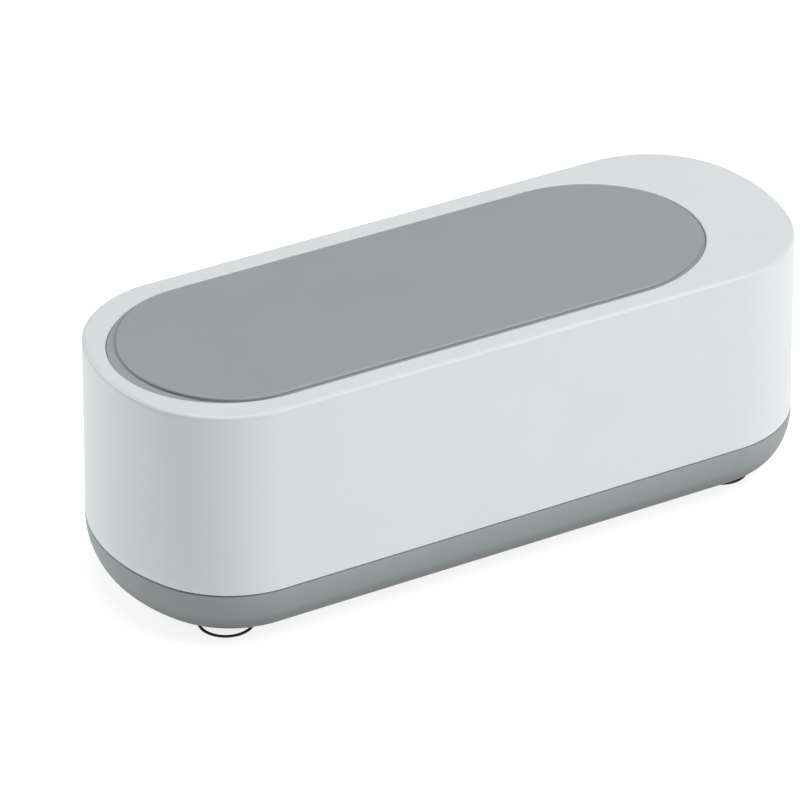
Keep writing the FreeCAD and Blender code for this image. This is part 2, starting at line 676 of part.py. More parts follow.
def make_transformer_core():
    """Two E shaped ferrite halves, drawn as one body with two windows."""
    x = TRANSFORMER_X
    half = CORE_WIDTH / 2
    core = block((x - half, x + half), (-CORE_DEPTH / 2, CORE_DEPTH / 2), CORE_Z)
    window_z = (CORE_Z[0] + CORE_YOKE, CORE_Z[1] - CORE_YOKE)
    for low, high in ((-half + CORE_YOKE, -CORE_LEG), (CORE_LEG, half - CORE_YOKE)):
        core = core.cut(block((x + low, x + high), (-CORE_DEPTH, CORE_DEPTH), window_z))
    return core


def make_transformer_bobbin():
    x = TRANSFORMER_X
    low, high = CORE_Z[0] + CORE_YOKE, CORE_Z[1] - CORE_YOKE
    leg = (-CORE_DEPTH / 2 - 0.1, CORE_DEPTH / 2 + 0.1)
    reach = CORE_WIDTH / 2 - CORE_YOKE - 0.1
    wall = BOBBIN_WALL
    end_y = BOBBIN_HALF_LENGTH
    solids = [block((x - CORE_LEG - wall, x + CORE_LEG + wall), (leg[0] - wall, leg[1] + wall), (low, high))]
    for z in (low, high - BOBBIN_FLANGE):
        solids.append(block((x - reach, x + reach), (-end_y, end_y), (z, z + BOBBIN_FLANGE)))
    for side in (-1, 1):
        rail = sorted((side * (CORE_DEPTH / 2 + 0.2), side * end_y))
        solids.append(block((x - reach, x + reach), rail, (DRIVER_TOP_Z + 0.2, low)))
    for pin_x, pin_y in bobbin_pin_spots():
        solids.append(upright(pin_x, pin_y, DRIVER_BOTTOM_Z - 1.0, DRIVER_TOP_Z + 0.4, BOBBIN_PIN_R))
    bobbin = fused(solids)
    return bobbin.cut(block((x - CORE_LEG - 0.1, x + CORE_LEG + 0.1), leg, (low - 1, high + 1)))


def make_transformer_winding():
    x = TRANSFORMER_X
    low, high = CORE_Z[0] + CORE_YOKE + BOBBIN_FLANGE, CORE_Z[1] - CORE_YOKE - BOBBIN_FLANGE
    inner_x = CORE_LEG + BOBBIN_WALL
    inner_y = CORE_DEPTH / 2 + 0.1 + BOBBIN_WALL
    build_up_x, build_up_y = 2.9, 3.2
    coil = block((x - inner_x - build_up_x, x + inner_x + build_up_x),
                 (-inner_y - build_up_y, inner_y + build_up_y), (low, high))
    coil = coil.makeFillet(2.2, edges_along(coil, UP))
    return coil.cut(block((x - inner_x, x + inner_x), (-inner_y, inner_y), (low - 1, high + 1)))


def make_power_choke():
    z = DRIVER_TOP_Z
    return turned([
        (0.0, z), (4.6, z), (4.6, z + 1.4), (4.0, z + 1.8), (4.0, z + 8.6), (4.6, z + 9.0),
        (4.6, z + 10.4), (1.6, z + 10.4), (1.6, z + 9.6), (0.0, z + 9.6)], Vector(44.0, 12.5, 0))


def make_filter_capacitors():
    z = DRIVER_TOP_Z
    cans = []
    for y in (-12.6, 12.6):
        cans.append(turned([
            (0.0, z), (3.6, z), (4.0, z, "corner"), (4.0, z + 0.5), (4.0, z + 1.6), (3.6, z + 2.1),
            (4.0, z + 2.6), (4.0, z + 11.0), (4.0, z + 11.5, "corner"), (3.5, z + 11.5),
            (3.2, z + 11.2), (0.0, z + 11.2)], Vector(71.5, y, 0)))
    return Part.makeCompound(cans)


def make_film_capacitor():
    body = block((41.5, 54.0), (-17.5, -12.5), (DRIVER_TOP_Z + 0.2, DRIVER_TOP_Z + 10.2))
    return body.makeFillet(0.5, edges_at_z(body, DRIVER_TOP_Z + 10.2))


def make_drive_transistors():
    """Two flat power transistors: body, tab and two legs each."""
    packages = []
    for y in (-12.5, 12.5):
        x = 60.5
        body = block((x - 3.3, x + 2.8), (y - 3.3, y + 3.3), (DRIVER_TOP_Z, DRIVER_TOP_Z + 2.3))
        tab = block((x - 4.4, x - 3.3), (y - 2.7, y + 2.7), (DRIVER_TOP_Z, DRIVER_TOP_Z + 0.6))
        legs = []
        for step in (-2.3, 2.3):
            width = (y + step - 0.4, y + step + 0.4)
            legs.append(block((x + 2.8, x + 5.0), width, (DRIVER_TOP_Z, DRIVER_TOP_Z + 0.6)))
        packages.append(fused([body, tab] + legs))
    return Part.makeCompound(packages)


def make_timer_chip():
    x, y, z = 41.0, 0.0, DRIVER_TOP_Z
    solids = [block((x - 2.5, x + 2.5), (y - 2.0, y + 2.0), (z + 0.15, z + 1.6))]
    for step in (-1.9, -0.63, 0.63, 1.9):
        for side in (-1, 1):
            reach = sorted((y + side * 1.9, y + side * 3.0))
            solids.append(block((x + step - 0.2, x + step + 0.2), reach, (z, z + 0.4)))
    return fused(solids)


def make_board_small_parts():
    """A row of chip resistors and a row of chip capacitors."""
    chips = []
    for step in range(4):
        x, y = 47.5, -8.0 + 4.0 * step
        chips.append(block((x - 0.6, x + 0.6), (y - 1.0, y + 1.0), (DRIVER_TOP_Z, DRIVER_TOP_Z + 0.55)))
    for step in range(3):
        x = 38.0 + 3.0 * step
        chips.append(block((x - 0.7, x + 0.7), (4.4, 6.6), (DRIVER_TOP_Z, DRIVER_TOP_Z + 0.9)))
    return Part.makeCompound(chips)


# ---- Control board, switch, lamp and inlet ----

def make_control_board():
    board = block((CONTROL_BACK_X, CONTROL_X), (-CONTROL_HALF_WIDTH, CONTROL_HALF_WIDTH), CONTROL_Z)
    board = board.makeFillet(BOARD_CORNER_R, edges_along(board, EAST))
    holes = [lengthwise(side * CONTROL_SCREW_Y, CONTROL_SCREW_Z, 80, 110, 1.3) for side in (-1, 1)]
    return board.cut(fused(holes))


def make_control_board_screws():
    screws = []
    for side in (-1, 1):
        seat = Vector(CONTROL_BACK_X, side * CONTROL_SCREW_Y, CONTROL_SCREW_Z)
        screws.append(tapping_screw(seat, EAST, 2.0, 1.4, 1.0, 6.0))
    return Part.makeCompound(screws)


def make_driver_header():
    x = DRIVER_HEADER_X
    top = DRIVER_TOP_Z + HEADER_HEIGHT
    mouth = PLUG_HALF_WIDTH + 0.1
    body = block((x - 3, x + 3), (-HEADER_HALF_WIDTH, HEADER_HALF_WIDTH), (DRIVER_TOP_Z, top))
    return body.cut(block((x - 2.1, x + 2.1), (-mouth, mouth), (DRIVER_TOP_Z + PLUG_SEAT, top + 1)))


def make_control_header():
    low = CONTROL_BACK_X - HEADER_HEIGHT
    z = CONTROL_PLUG_Z
    mouth = PLUG_HALF_WIDTH + 0.1
    body = block((low, CONTROL_BACK_X), (-HEADER_HALF_WIDTH, HEADER_HALF_WIDTH), (z - 3, z + 3))
    return body.cut(block((low - 1, CONTROL_BACK_X - PLUG_SEAT), (-mouth, mouth), (z - 2.1, z + 2.1)))


def make_control_plugs():
    x, z = DRIVER_HEADER_X, CONTROL_PLUG_Z
    width = (-PLUG_HALF_WIDTH, PLUG_HALF_WIDTH)
    lower = block((x - 2, x + 2), width, (DRIVER_TOP_Z + PLUG_SEAT, DRIVER_PLUG_TOP_Z))
    upper = block((CONTROL_PLUG_X, CONTROL_BACK_X - PLUG_SEAT), width, (z - 2, z + 2))
    return Part.makeCompound([lower, upper])


def make_control_lead():
    """Four leads side by side from the driver's plug up and over to the control board's plug."""
    leads = []
    for y in LEAD_STEPS:
        route = [
            Vector(DRIVER_HEADER_X, y, DRIVER_PLUG_TOP_Z), Vector(DRIVER_HEADER_X, y, CONTROL_PLUG_Z),
            Vector(CONTROL_PLUG_X, y, CONTROL_PLUG_Z)]
        leads.append(wire_lead(route, CONTROL_LEAD_R, CONTROL_LEAD_BEND_R))
    return Part.makeCompound(leads)


def make_button_switch():
    half = SWITCH_HALF_WIDTH
    body = block((CONTROL_X, SWITCH_TOP_X), (-half, half), (BUTTON_Z - half, BUTTON_Z + half))
    return body.cut(lengthwise(0, BUTTON_Z, SWITCH_TOP_X - 2.0, SWITCH_TOP_X + 1, PLUNGER_R + 0.2))


def make_switch_plunger():
    return lengthwise(0, BUTTON_Z, SWITCH_TOP_X - 1.0, BUTTON_BACK_X, PLUNGER_R)


def make_power_button():
    face_x = end_wall_x(BUTTON_Z) + 0.15
    cap = lengthwise(0, BUTTON_Z, BUTTON_BACK_X, face_x, BUTTON_R)
    rim = [edge for edge in cap.Edges if edge.BoundBox.XMin > face_x - 1e-4]
    cap = cap.makeFillet(0.7, rim)
    flange = lengthwise(0, BUTTON_Z, BUTTON_BACK_X, BUTTON_BACK_X + 0.8, BUTTON_R + 1.3)
    return fused([cap, flange])


def make_indicator_led():
    body = block((CONTROL_X, CONTROL_X + 1.2), (-1.75, 1.75), (LENS_Z - 1.4, LENS_Z + 1.4))
    dome = lengthwise(0, LENS_Z, CONTROL_X + 1.2, CONTROL_X + 1.9, 1.2)
    return fused([body, dome])


def make_indicator_lens():
    face_x = end_wall_x(LENS_Z) + 0.1
    stem = lengthwise(0, LENS_Z, CONTROL_X + 3, face_x, LENS_R)
    rim = [edge for edge in stem.Edges if edge.BoundBox.XMin > face_x - 1e-4]
    stem = stem.makeFillet(0.4, rim)
    flange = lengthwise(0, LENS_Z, CONTROL_X + 4.2, CONTROL_X + 5.2, LENS_R + 0.8)
    return fused([stem, flange])


def make_usb_shell():
    front_x = end_wall_x(USB_Z) - USB_SETBACK
    outer = rounded_slot((CONTROL_X, front_x), 0, USB_Z, *USB_SHELL)
    inner = rounded_slot((CONTROL_X - 1, front_x + 1), 0, USB_Z, *USB_BORE)
    return outer.cut(inner)


def make_usb_tongue():
    width, height, corner_r = USB_BORE
    back_x = CONTROL_X + 2.0
    front_x = end_wall_x(USB_Z) - USB_SETBACK - 0.7
    back = rounded_slot((CONTROL_X, back_x), 0, USB_Z, width - 0.04, height - 0.04, corner_r - 0.02)
    blade = block((back_x, front_x), (-3.35, 3.35), (USB_Z - 0.35, USB_Z + 0.35))
    return fused([back, blade])


PIECES = {
    "housing": make_housing,
    "lid": make_lid,
    "base_tray": make_base_tray,
    "base_seal": make_base_seal,
    "base_screws": make_base_screws,
    "foot_front_left": lambda: make_foot(FOOT_LEFT_X, -FOOT_Y),
    "foot_front_right": lambda: make_foot(FOOT_RIGHT_X, -FOOT_Y),
    "foot_rear_left": lambda: make_foot(FOOT_LEFT_X, FOOT_Y),
    "foot_rear_right": lambda: make_foot(FOOT_RIGHT_X, FOOT_Y),
    "tank": make_tank,
    "tank_gasket": make_tank_gasket,
    "tank_clamp_frame": make_tank_clamp_frame,
    "tank_clamp_screws": make_tank_clamp_screws,
    "transducer_plate": make_transducer_plate,
    "piezo_disc": make_piezo_disc,
    "piezo_lead_live": lambda: make_piezo_lead(WELL_X + 3, -4.0, PIEZO_PLUG_Y + 1.25),
    "piezo_lead_ground": lambda: make_piezo_lead(WELL_X + 3, -12.0, PIEZO_PLUG_Y - 1.25),
    "piezo_plug": make_piezo_plug,
    "piezo_header": make_piezo_header,
    "driver_board": make_driver_board,
    "driver_board_screws": make_driver_board_screws,
    "transformer_core": make_transformer_core,
    "transformer_bobbin": make_transformer_bobbin,
    "transformer_winding": make_transformer_winding,
    "power_choke": make_power_choke,
    "filter_capacitors": make_filter_capacitors,
    "film_capacitor": make_film_capacitor,
    "drive_transistors": make_drive_transistors,
    "timer_chip": make_timer_chip,
    "board_small_parts": make_board_small_parts,
    "driver_header": make_driver_header,
    "control_plugs": make_control_plugs,
    "control_lead": make_control_lead,
    "control_header": make_control_header,
    "control_board": make_control_board,
    "control_board_screws": make_control_board_screws,
    "button_switch": make_button_switch,
    "switch_plunger": make_switch_plunger,
    "power_button": make_power_button,
    "indicator_led": make_indicator_led,
    "indicator_lens": make_indicator_lens,
    "usb_shell": make_usb_shell,
    "usb_tongue": make_usb_tongue,
}

os.makedirs("parts", exist_ok=True)
for name, make in PIECES.items():
    shape = make()
    shape.exportStep("parts/" + name + ".step")
    box = shape.BoundBox
    print(f"{name:22s} solids {len(shape.Solids)} valid {shape.isValid()} volume {shape.Volume:10.1f}"
          f" x {box.XMin:7.2f} {box.XMax:7.2f} y {box.YMin:7.2f} {box.YMax:7.2f}"
          f" z {box.ZMin:6.2f} {box.ZMax:6.2f}")
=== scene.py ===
import bmesh
import bpy
import json
import math
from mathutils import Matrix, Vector


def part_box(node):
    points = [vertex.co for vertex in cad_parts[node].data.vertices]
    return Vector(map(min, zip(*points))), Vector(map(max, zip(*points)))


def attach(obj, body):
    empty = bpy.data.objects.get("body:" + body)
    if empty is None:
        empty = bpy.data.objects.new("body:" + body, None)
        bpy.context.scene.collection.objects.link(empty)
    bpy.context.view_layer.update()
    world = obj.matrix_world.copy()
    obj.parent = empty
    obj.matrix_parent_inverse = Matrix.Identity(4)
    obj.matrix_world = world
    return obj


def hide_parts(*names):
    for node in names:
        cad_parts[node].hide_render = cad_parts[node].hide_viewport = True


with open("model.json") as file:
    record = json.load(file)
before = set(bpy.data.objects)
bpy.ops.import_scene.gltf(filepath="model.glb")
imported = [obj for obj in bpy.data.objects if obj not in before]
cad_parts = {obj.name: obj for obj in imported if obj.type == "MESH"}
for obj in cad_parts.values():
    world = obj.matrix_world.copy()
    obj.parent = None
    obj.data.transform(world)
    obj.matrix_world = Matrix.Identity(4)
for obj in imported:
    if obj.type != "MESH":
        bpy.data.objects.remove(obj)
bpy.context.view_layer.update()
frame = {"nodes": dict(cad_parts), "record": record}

MM = 0.001

# ---- Driving dimensions, in millimetres ----

# Outlines: half width, half length, corner radius, end radius
RIM_OVAL = (38.1, 102.1, 31.3, 55.5)
SEAM_OVAL = (39.7, 103.0, 30.4, 50.7)
WELL_OVAL = (31.7, 87.5, 35.0, 30.0)
WELL_X = -10.2

RIM_Z = 70.8
SEAM_Z = 17.4
HOUSING_BOTTOM_Z = 17.65
WALL = 2.3
TOP_THICKNESS = 2.5
RIM_FILLET = 1.2
OPENING_FILLET = 0.4
SCREW_BOSS_R = 3.6
SCREW_BOSS_TOP_Z = 25.2
SCREW_HOLE_R = 1.4
SCREW_HOLE_TOP_Z = 24.4
WEB_HALF_THICKNESS = 1.2
WEB_TOP_Z = 34.0
WEB_END_Y = 38.0
WELL_WALL = 1.8
LEDGE_WIDTH = 4.0
LEDGE_TOP_Z = 67.4
LEDGE_BOTTOM_Z = 65.2

LID_GAP = 0.15
LID_FLANGE_TOP_Z = 70.4
PANEL_INSET = 0.95
PANEL_LEFT_OVAL = (WELL_OVAL[0] - PANEL_INSET, 85.5, 24.0, 31.9)
PANEL_LEFT_X = -9.2
LID_TOP_Z = 71.3
LID_FILLET = 0.6
LID_BOTTOM_Z = 67.5
LID_SHEET = 2.4
LID_EDGE = 2.0
LID_RIB = 1.4
LID_RIB_INSET = 4.8
LID_CROSS_RIB = 1.2
LID_CROSS_RIB_STEPS = (-42.0, -14.0, 14.0, 42.0)
CAP_INSET = 20.0

TANK_INSET = 4.7
TANK_SHEET = 0.6
TANK_FLANGE = 4.0
TANK_FLOOR_Z = 26.4
TANK_CORNER = 7.0
TANK_LIP = 1.2
FLANGE_TOP_Z = 64.2
FILL_LINE_Z = 52.0

BASE_BOTTOM_Z = 2.8
BASE_FLOOR_Z = 5.2
BASE_ROUND = 9.4
BASE_WALL = 3.7
BASE_LIP = 0.7
BASE_INNER_ROUND_TOP_Z = 14.0
BASE_CAP_INSET = 26.0
BASE_RIB_X = (-65.0, -40.0, -15.0)
BASE_RIB = 1.4
BASE_RIB_HEIGHT = 2.0
TONGUE_TOP_Z = 20.4
SEAL_OUTER = 0.8
SEAL_INNER = 1.8
SEAL_DEPTH = 0.7
COUNTERBORE_R = 3.0
COUNTERBORE_WALL = 1.3
COUNTERBORE_TOP_Z = 13.4
COUNTERBORE_CHAMFER = 0.6
SCREW_CLEARANCE_R = 1.6
LABEL_SIZE = (64.0, 30.0)
LABEL_DEPTH = 0.35
LABEL_CORNER_R = 2.5
LABEL_SLOPE = 0.15

FOOT_R = 7.75
FOOT_NECK_R = 2.8
FOOT_BULB_R = 3.5
FOOT_BULB_TOP_Z = 7.4
FOOT_BEAD_R = 0.3
FOOT_HOLLOW_Z = 1.25
FOOT_HOLE_TOP_Z = 6.3

BASE_SCREWS = (60.0, 26.5)
CLAMP_SCREW_STEP = 52.0
CLAMP_SCREW_OUTSET = 2.2
CLAMP_BOSS_R = 2.1
CLAMP_BOSS_BOTTOM_Z = 63.7
CLAMP_HOLE_R = 1.0
DRIVER_SCREWS = ((34.0, 82.0), 15.5)
DRIVER_POST_R = 2.8
DRIVER_POST_TOP_Z = 8.0
DRIVER_HOLE_R = 1.1

# Right end wall. Inlet outlines: width, height, corner radius
END_X = 110.0
END_INNER_X = 97.0
BUTTON_Z = 48.0
BUTTON_R = 5.4
BUTTON_CLEARANCE = 0.35
BUTTON_DISH_R = 7.6
BUTTON_DISH_FLOOR_R = 6.4
BUTTON_DISH_DEPTH = 0.8
BUTTON_BACK_X = 98.3
BUTTON_COLLAR_R = 6.7
BUTTON_COLLAR = 0.8
BUTTON_HOLLOW_R = 4.0
BUTTON_HOLLOW_DEPTH = 0.42
LENS_Z = 59.5
LENS_R = 1.5
LENS_COLLAR_R = 2.3
USB_Z = 29.0
USB_SLOT = (9.6, 3.9, 1.9)
USB_POCKET = (12.4, 6.6, 3.2)
USB_POCKET_DEPTH = 1.2
CONTROL_X = 94.0
CONTROL_SCREW = (11.0, 39.0)
CONTROL_BOSS_R = 2.6
CONTROL_BOSS_END_X = 100.9
CONTROL_HOLE_R = 1.0

# Points on a quarter of an outline: end arc, corner arc, straight side
END_STEPS, CORNER_STEPS, SIDE_STEPS = 10, 30, 24


# ---- Mesh building ----

def oval_loop(oval, offset=0.0, middle_x=0.0):
    """Points on an outline of straight sides, corner arcs and end arcs, anticlockwise from its right tip.
    All outlines get the same number of points at matching places, so that any two can be bridged."""
    half_width, half_length, corner_r, end_r = oval
    corner_y = half_width - corner_r
    end_x = half_length - end_r
    reach = math.sqrt((end_r - corner_r) ** 2 - corner_y ** 2)
    corner_x = end_x + math.copysign(reach, end_r - corner_r)
    turn = math.atan2(abs(corner_y), reach)
    quarter = []
    for step in range(END_STEPS):
        angle = turn * step / END_STEPS
        quarter.append((end_x + (end_r + offset) * math.cos(angle), (end_r + offset) * math.sin(angle)))
    for step in range(CORNER_STEPS):
        angle = turn + (math.pi / 2 - turn) * step / CORNER_STEPS
        quarter.append((corner_x + (corner_r + offset) * math.cos(angle),
                        corner_y + (corner_r + offset) * math.sin(angle)))
    for step in range(SIDE_STEPS):
        quarter.append((corner_x * (1 - step / SIDE_STEPS), half_width + offset))
    half = quarter + [(0.0, half_width + offset)] + [(-x, y) for x, y in reversed(quarter)]
    whole = half + [(x, -y) for x, y in reversed(half[1:-1])]
    return [(x + middle_x, y) for x, y in whole]


def lifted(loop, z):
    return [(x, y, z) for x, y in loop]


def well_loop(offset, z):
    return lifted(oval_loop(WELL_OVAL, offset, WELL_X), z)


def panel_loop(offset, z):
    """The well's outline at the right end, and a blunter one at the left end."""
    right = oval_loop(WELL_OVAL, offset - PANEL_INSET, WELL_X)
    left = oval_loop(PANEL_LEFT_OVAL, offset, PANEL_LEFT_X)
    quarter = len(right) // 4
    return lifted(right[:quarter + 1] + left[quarter + 1:3 * quarter] + right[3 * quarter:], z)


def wall_loop(offset, z):
    """An outline of the casing's slanted wall at a height, moved outwards by offset."""
    share = (RIM_Z - z) / (RIM_Z - HOUSING_BOTTOM_Z)
    rim = oval_loop(RIM_OVAL, offset)
    seam = oval_loop(SEAM_OVAL, offset)
    return [(a[0] + share * (b[0] - a[0]), a[1] + share * (b[1] - a[1]), z) for a, b in zip(rim, seam)]


def tray_loop(offset, z):
    return lifted(oval_loop(SEAM_OVAL, offset), z)


def rounding(start, corner, end, steps):
    """Points of a quarter ellipse in (offset, z), from start to end, both included."""
    points = []
    for step in range(steps + 1):
        angle = math.pi / 2 * step / steps
        a, b = 1 - math.sin(angle), 1 - math.cos(angle)
        points.append(tuple(c + (s - c) * a + (e - c) * b for s, c, e in zip(start, corner, end)))
    return points


def straight(start, end, steps):
    return [tuple(start[i] + (end[i] - start[i]) * step / steps for i in (0, 1)) for step in range(1, steps)]


def mesh_from(verts, faces):
    mesh = bpy.data.meshes.new("piece")
    mesh.from_pydata([Vector(v) * MM for v in verts], [], faces)
    bm = bmesh.new()
    bm.from_mesh(mesh)
    bmesh.ops.recalc_face_normals(bm, faces=bm.faces)
    bm.to_mesh(mesh)
    bm.free()
    return mesh


def skin(loops, closed=False, low_cap=False, high_cap=False):
    """One shell from loops of equal length. A cap joins a loop's front half to its back half."""
    count = len(loops[0])
    verts = [v for loop in loops for v in loop]
    faces = []
    for row in range(len(loops) if closed else len(loops) - 1):
        a = row * count
        b = (row + 1) % len(loops) * count
        for i in range(count):
            j = (i + 1) % count
            faces.append((a + i, a + j, b + j, b + i))
    for wanted, base in ((low_cap, 0), (high_cap, (len(loops) - 1) * count)):
        if wanted:
            faces += cap_faces(base, count)
    return mesh_from(verts, faces)


def cap_faces(base, count):
    half = count // 2
    faces = [(base, base + 1, base + count - 1), (base + half - 1, base + half, base + half + 1)]
    for i in range(1, half - 1):
        faces.append((base + i, base + i + 1, base + count - i - 1, base + count - i))
    return faces


def lathe(points, steps=64, axis="z", centre=(0, 0, 0)):
    """A closed solid of revolution from (radius, height) points that start and end on the axis."""
    verts, faces, rows = [], [], []
    for radius, height in points:
        if radius < 1e-6:
            rows.append([len(verts)])
            verts.append((0, 0, height))
        else:
            rows.append(list(range(len(verts), len(verts) + steps)))
            for step in range(steps):
                angle = 2 * math.pi * step / steps
                verts.append((radius * math.cos(angle), radius * math.sin(angle), height))
    for low, high in zip(rows, rows[1:]):
        for i in range(steps):
            j = (i + 1) % steps
            if len(low) == 1:
                faces.append((low[0], high[i], high[j]))
            elif len(high) == 1:
                faces.append((low[i], low[j], high[0]))
            else:
                faces.append((low[i], low[j], high[j], high[i]))
    if axis == "x":
        verts = [(h, a, b) for a, b, h in verts]
    verts = [tuple(v[i] + centre[i] for i in range(3)) for v in verts]
    return mesh_from(verts, faces)


def bar(x_range, z, outline, steps):
    """A bar along X whose section is a rectangle with round corners."""
    width, height, radius = outline
    section = []
    for quarter in range(4):
        side_y = 1 if quarter in (0, 3) else -1
        side_z = 1 if quarter in (0, 1) else -1
        for step in range(steps + 1):
            angle = math.pi / 2 * (quarter + step / steps)
            section.append((side_y * (width / 2 - radius) + radius * math.cos(angle),
                            z + side_z * (height / 2 - radius) + radius * math.sin(angle)))
    count = len(section)
    verts = [(x, a, b) for x in x_range for a, b in section]
    faces = [(i, (i + 1) % count, count + (i + 1) % count, count + i) for i in range(count)]
    faces += [tuple(range(count)), tuple(range(count, 2 * count))]
    return mesh_from(verts, faces)


def box(x_range, y_range, z_range):
    verts = [(x, y, z) for x in x_range for y in y_range for z in z_range]
    faces = [(0, 1, 3, 2), (4, 6, 7, 5), (0, 4, 5, 1), (2, 3, 7, 6), (0, 2, 6, 4), (1, 5, 7, 3)]
    return mesh_from(verts, faces)


def piece(name, mesh, node, body):
    mesh.name = name
    thing = bpy.data.objects.new(name, mesh)
    bpy.context.scene.collection.objects.link(thing)
    mesh.shade_smooth()
    mesh.set_sharp_from_angle(angle=math.radians(32.0))
    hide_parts(node)
    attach(thing, body)
    return thing


def combined(mesh, others, operation):
    """The mesh with each of the others joined to it or cut from it."""
    target = bpy.data.objects.new("target", mesh)
    bpy.context.scene.collection.objects.link(target)
    helpers = []
    for other in others:
        helper = bpy.data.objects.new("helper", other)
        bpy.context.scene.collection.objects.link(helper)
        modifier = target.modifiers.new("join", "BOOLEAN")
        modifier.operation = operation
        modifier.solver = "EXACT"
        modifier.object = helper
        helpers.append(helper)
    bpy.context.view_layer.update()
    result = bpy.data.meshes.new_from_object(target.evaluated_get(bpy.context.evaluated_depsgraph_get()))
    for helper in helpers + [target]:
        bpy.data.objects.remove(helper)
    return result


def merged(mesh):
    """The mesh without the doubled points and slivers that a boolean leaves."""
    distance = 0.002 * MM
    bm = bmesh.new()
    bm.from_mesh(mesh)
    bmesh.ops.remove_doubles(bm, verts=bm.verts, dist=distance)
    bmesh.ops.dissolve_degenerate(bm, edges=bm.edges, dist=distance)
    bm.to_mesh(mesh)
    bm.free()
    return mesh


def pairs(x_values, y):
    """Points at each x, on both sides of the middle plane."""
    return [(x, side * y) for x in x_values for side in (-1, 1)]


def end_wall_x(z):
    share = (RIM_Z - z) / (RIM_Z - SEAM_Z)
    return RIM_OVAL[1] + share * (SEAM_OVAL[1] - RIM_OVAL[1])


def post(x, y, z_low, z_high, radius, steps=32):
    return lathe([(0, z_low), (radius, z_low), (radius, z_high), (0, z_high)], steps, centre=(x, y, 0))


def pin(x_low, x_high, y, z, radius, steps):
    """A round pin along X."""
    return lathe([(0, x_low), (radius, x_low), (radius, x_high), (0, x_high)], steps, "x", (0, y, z))


# ---- Casing ----

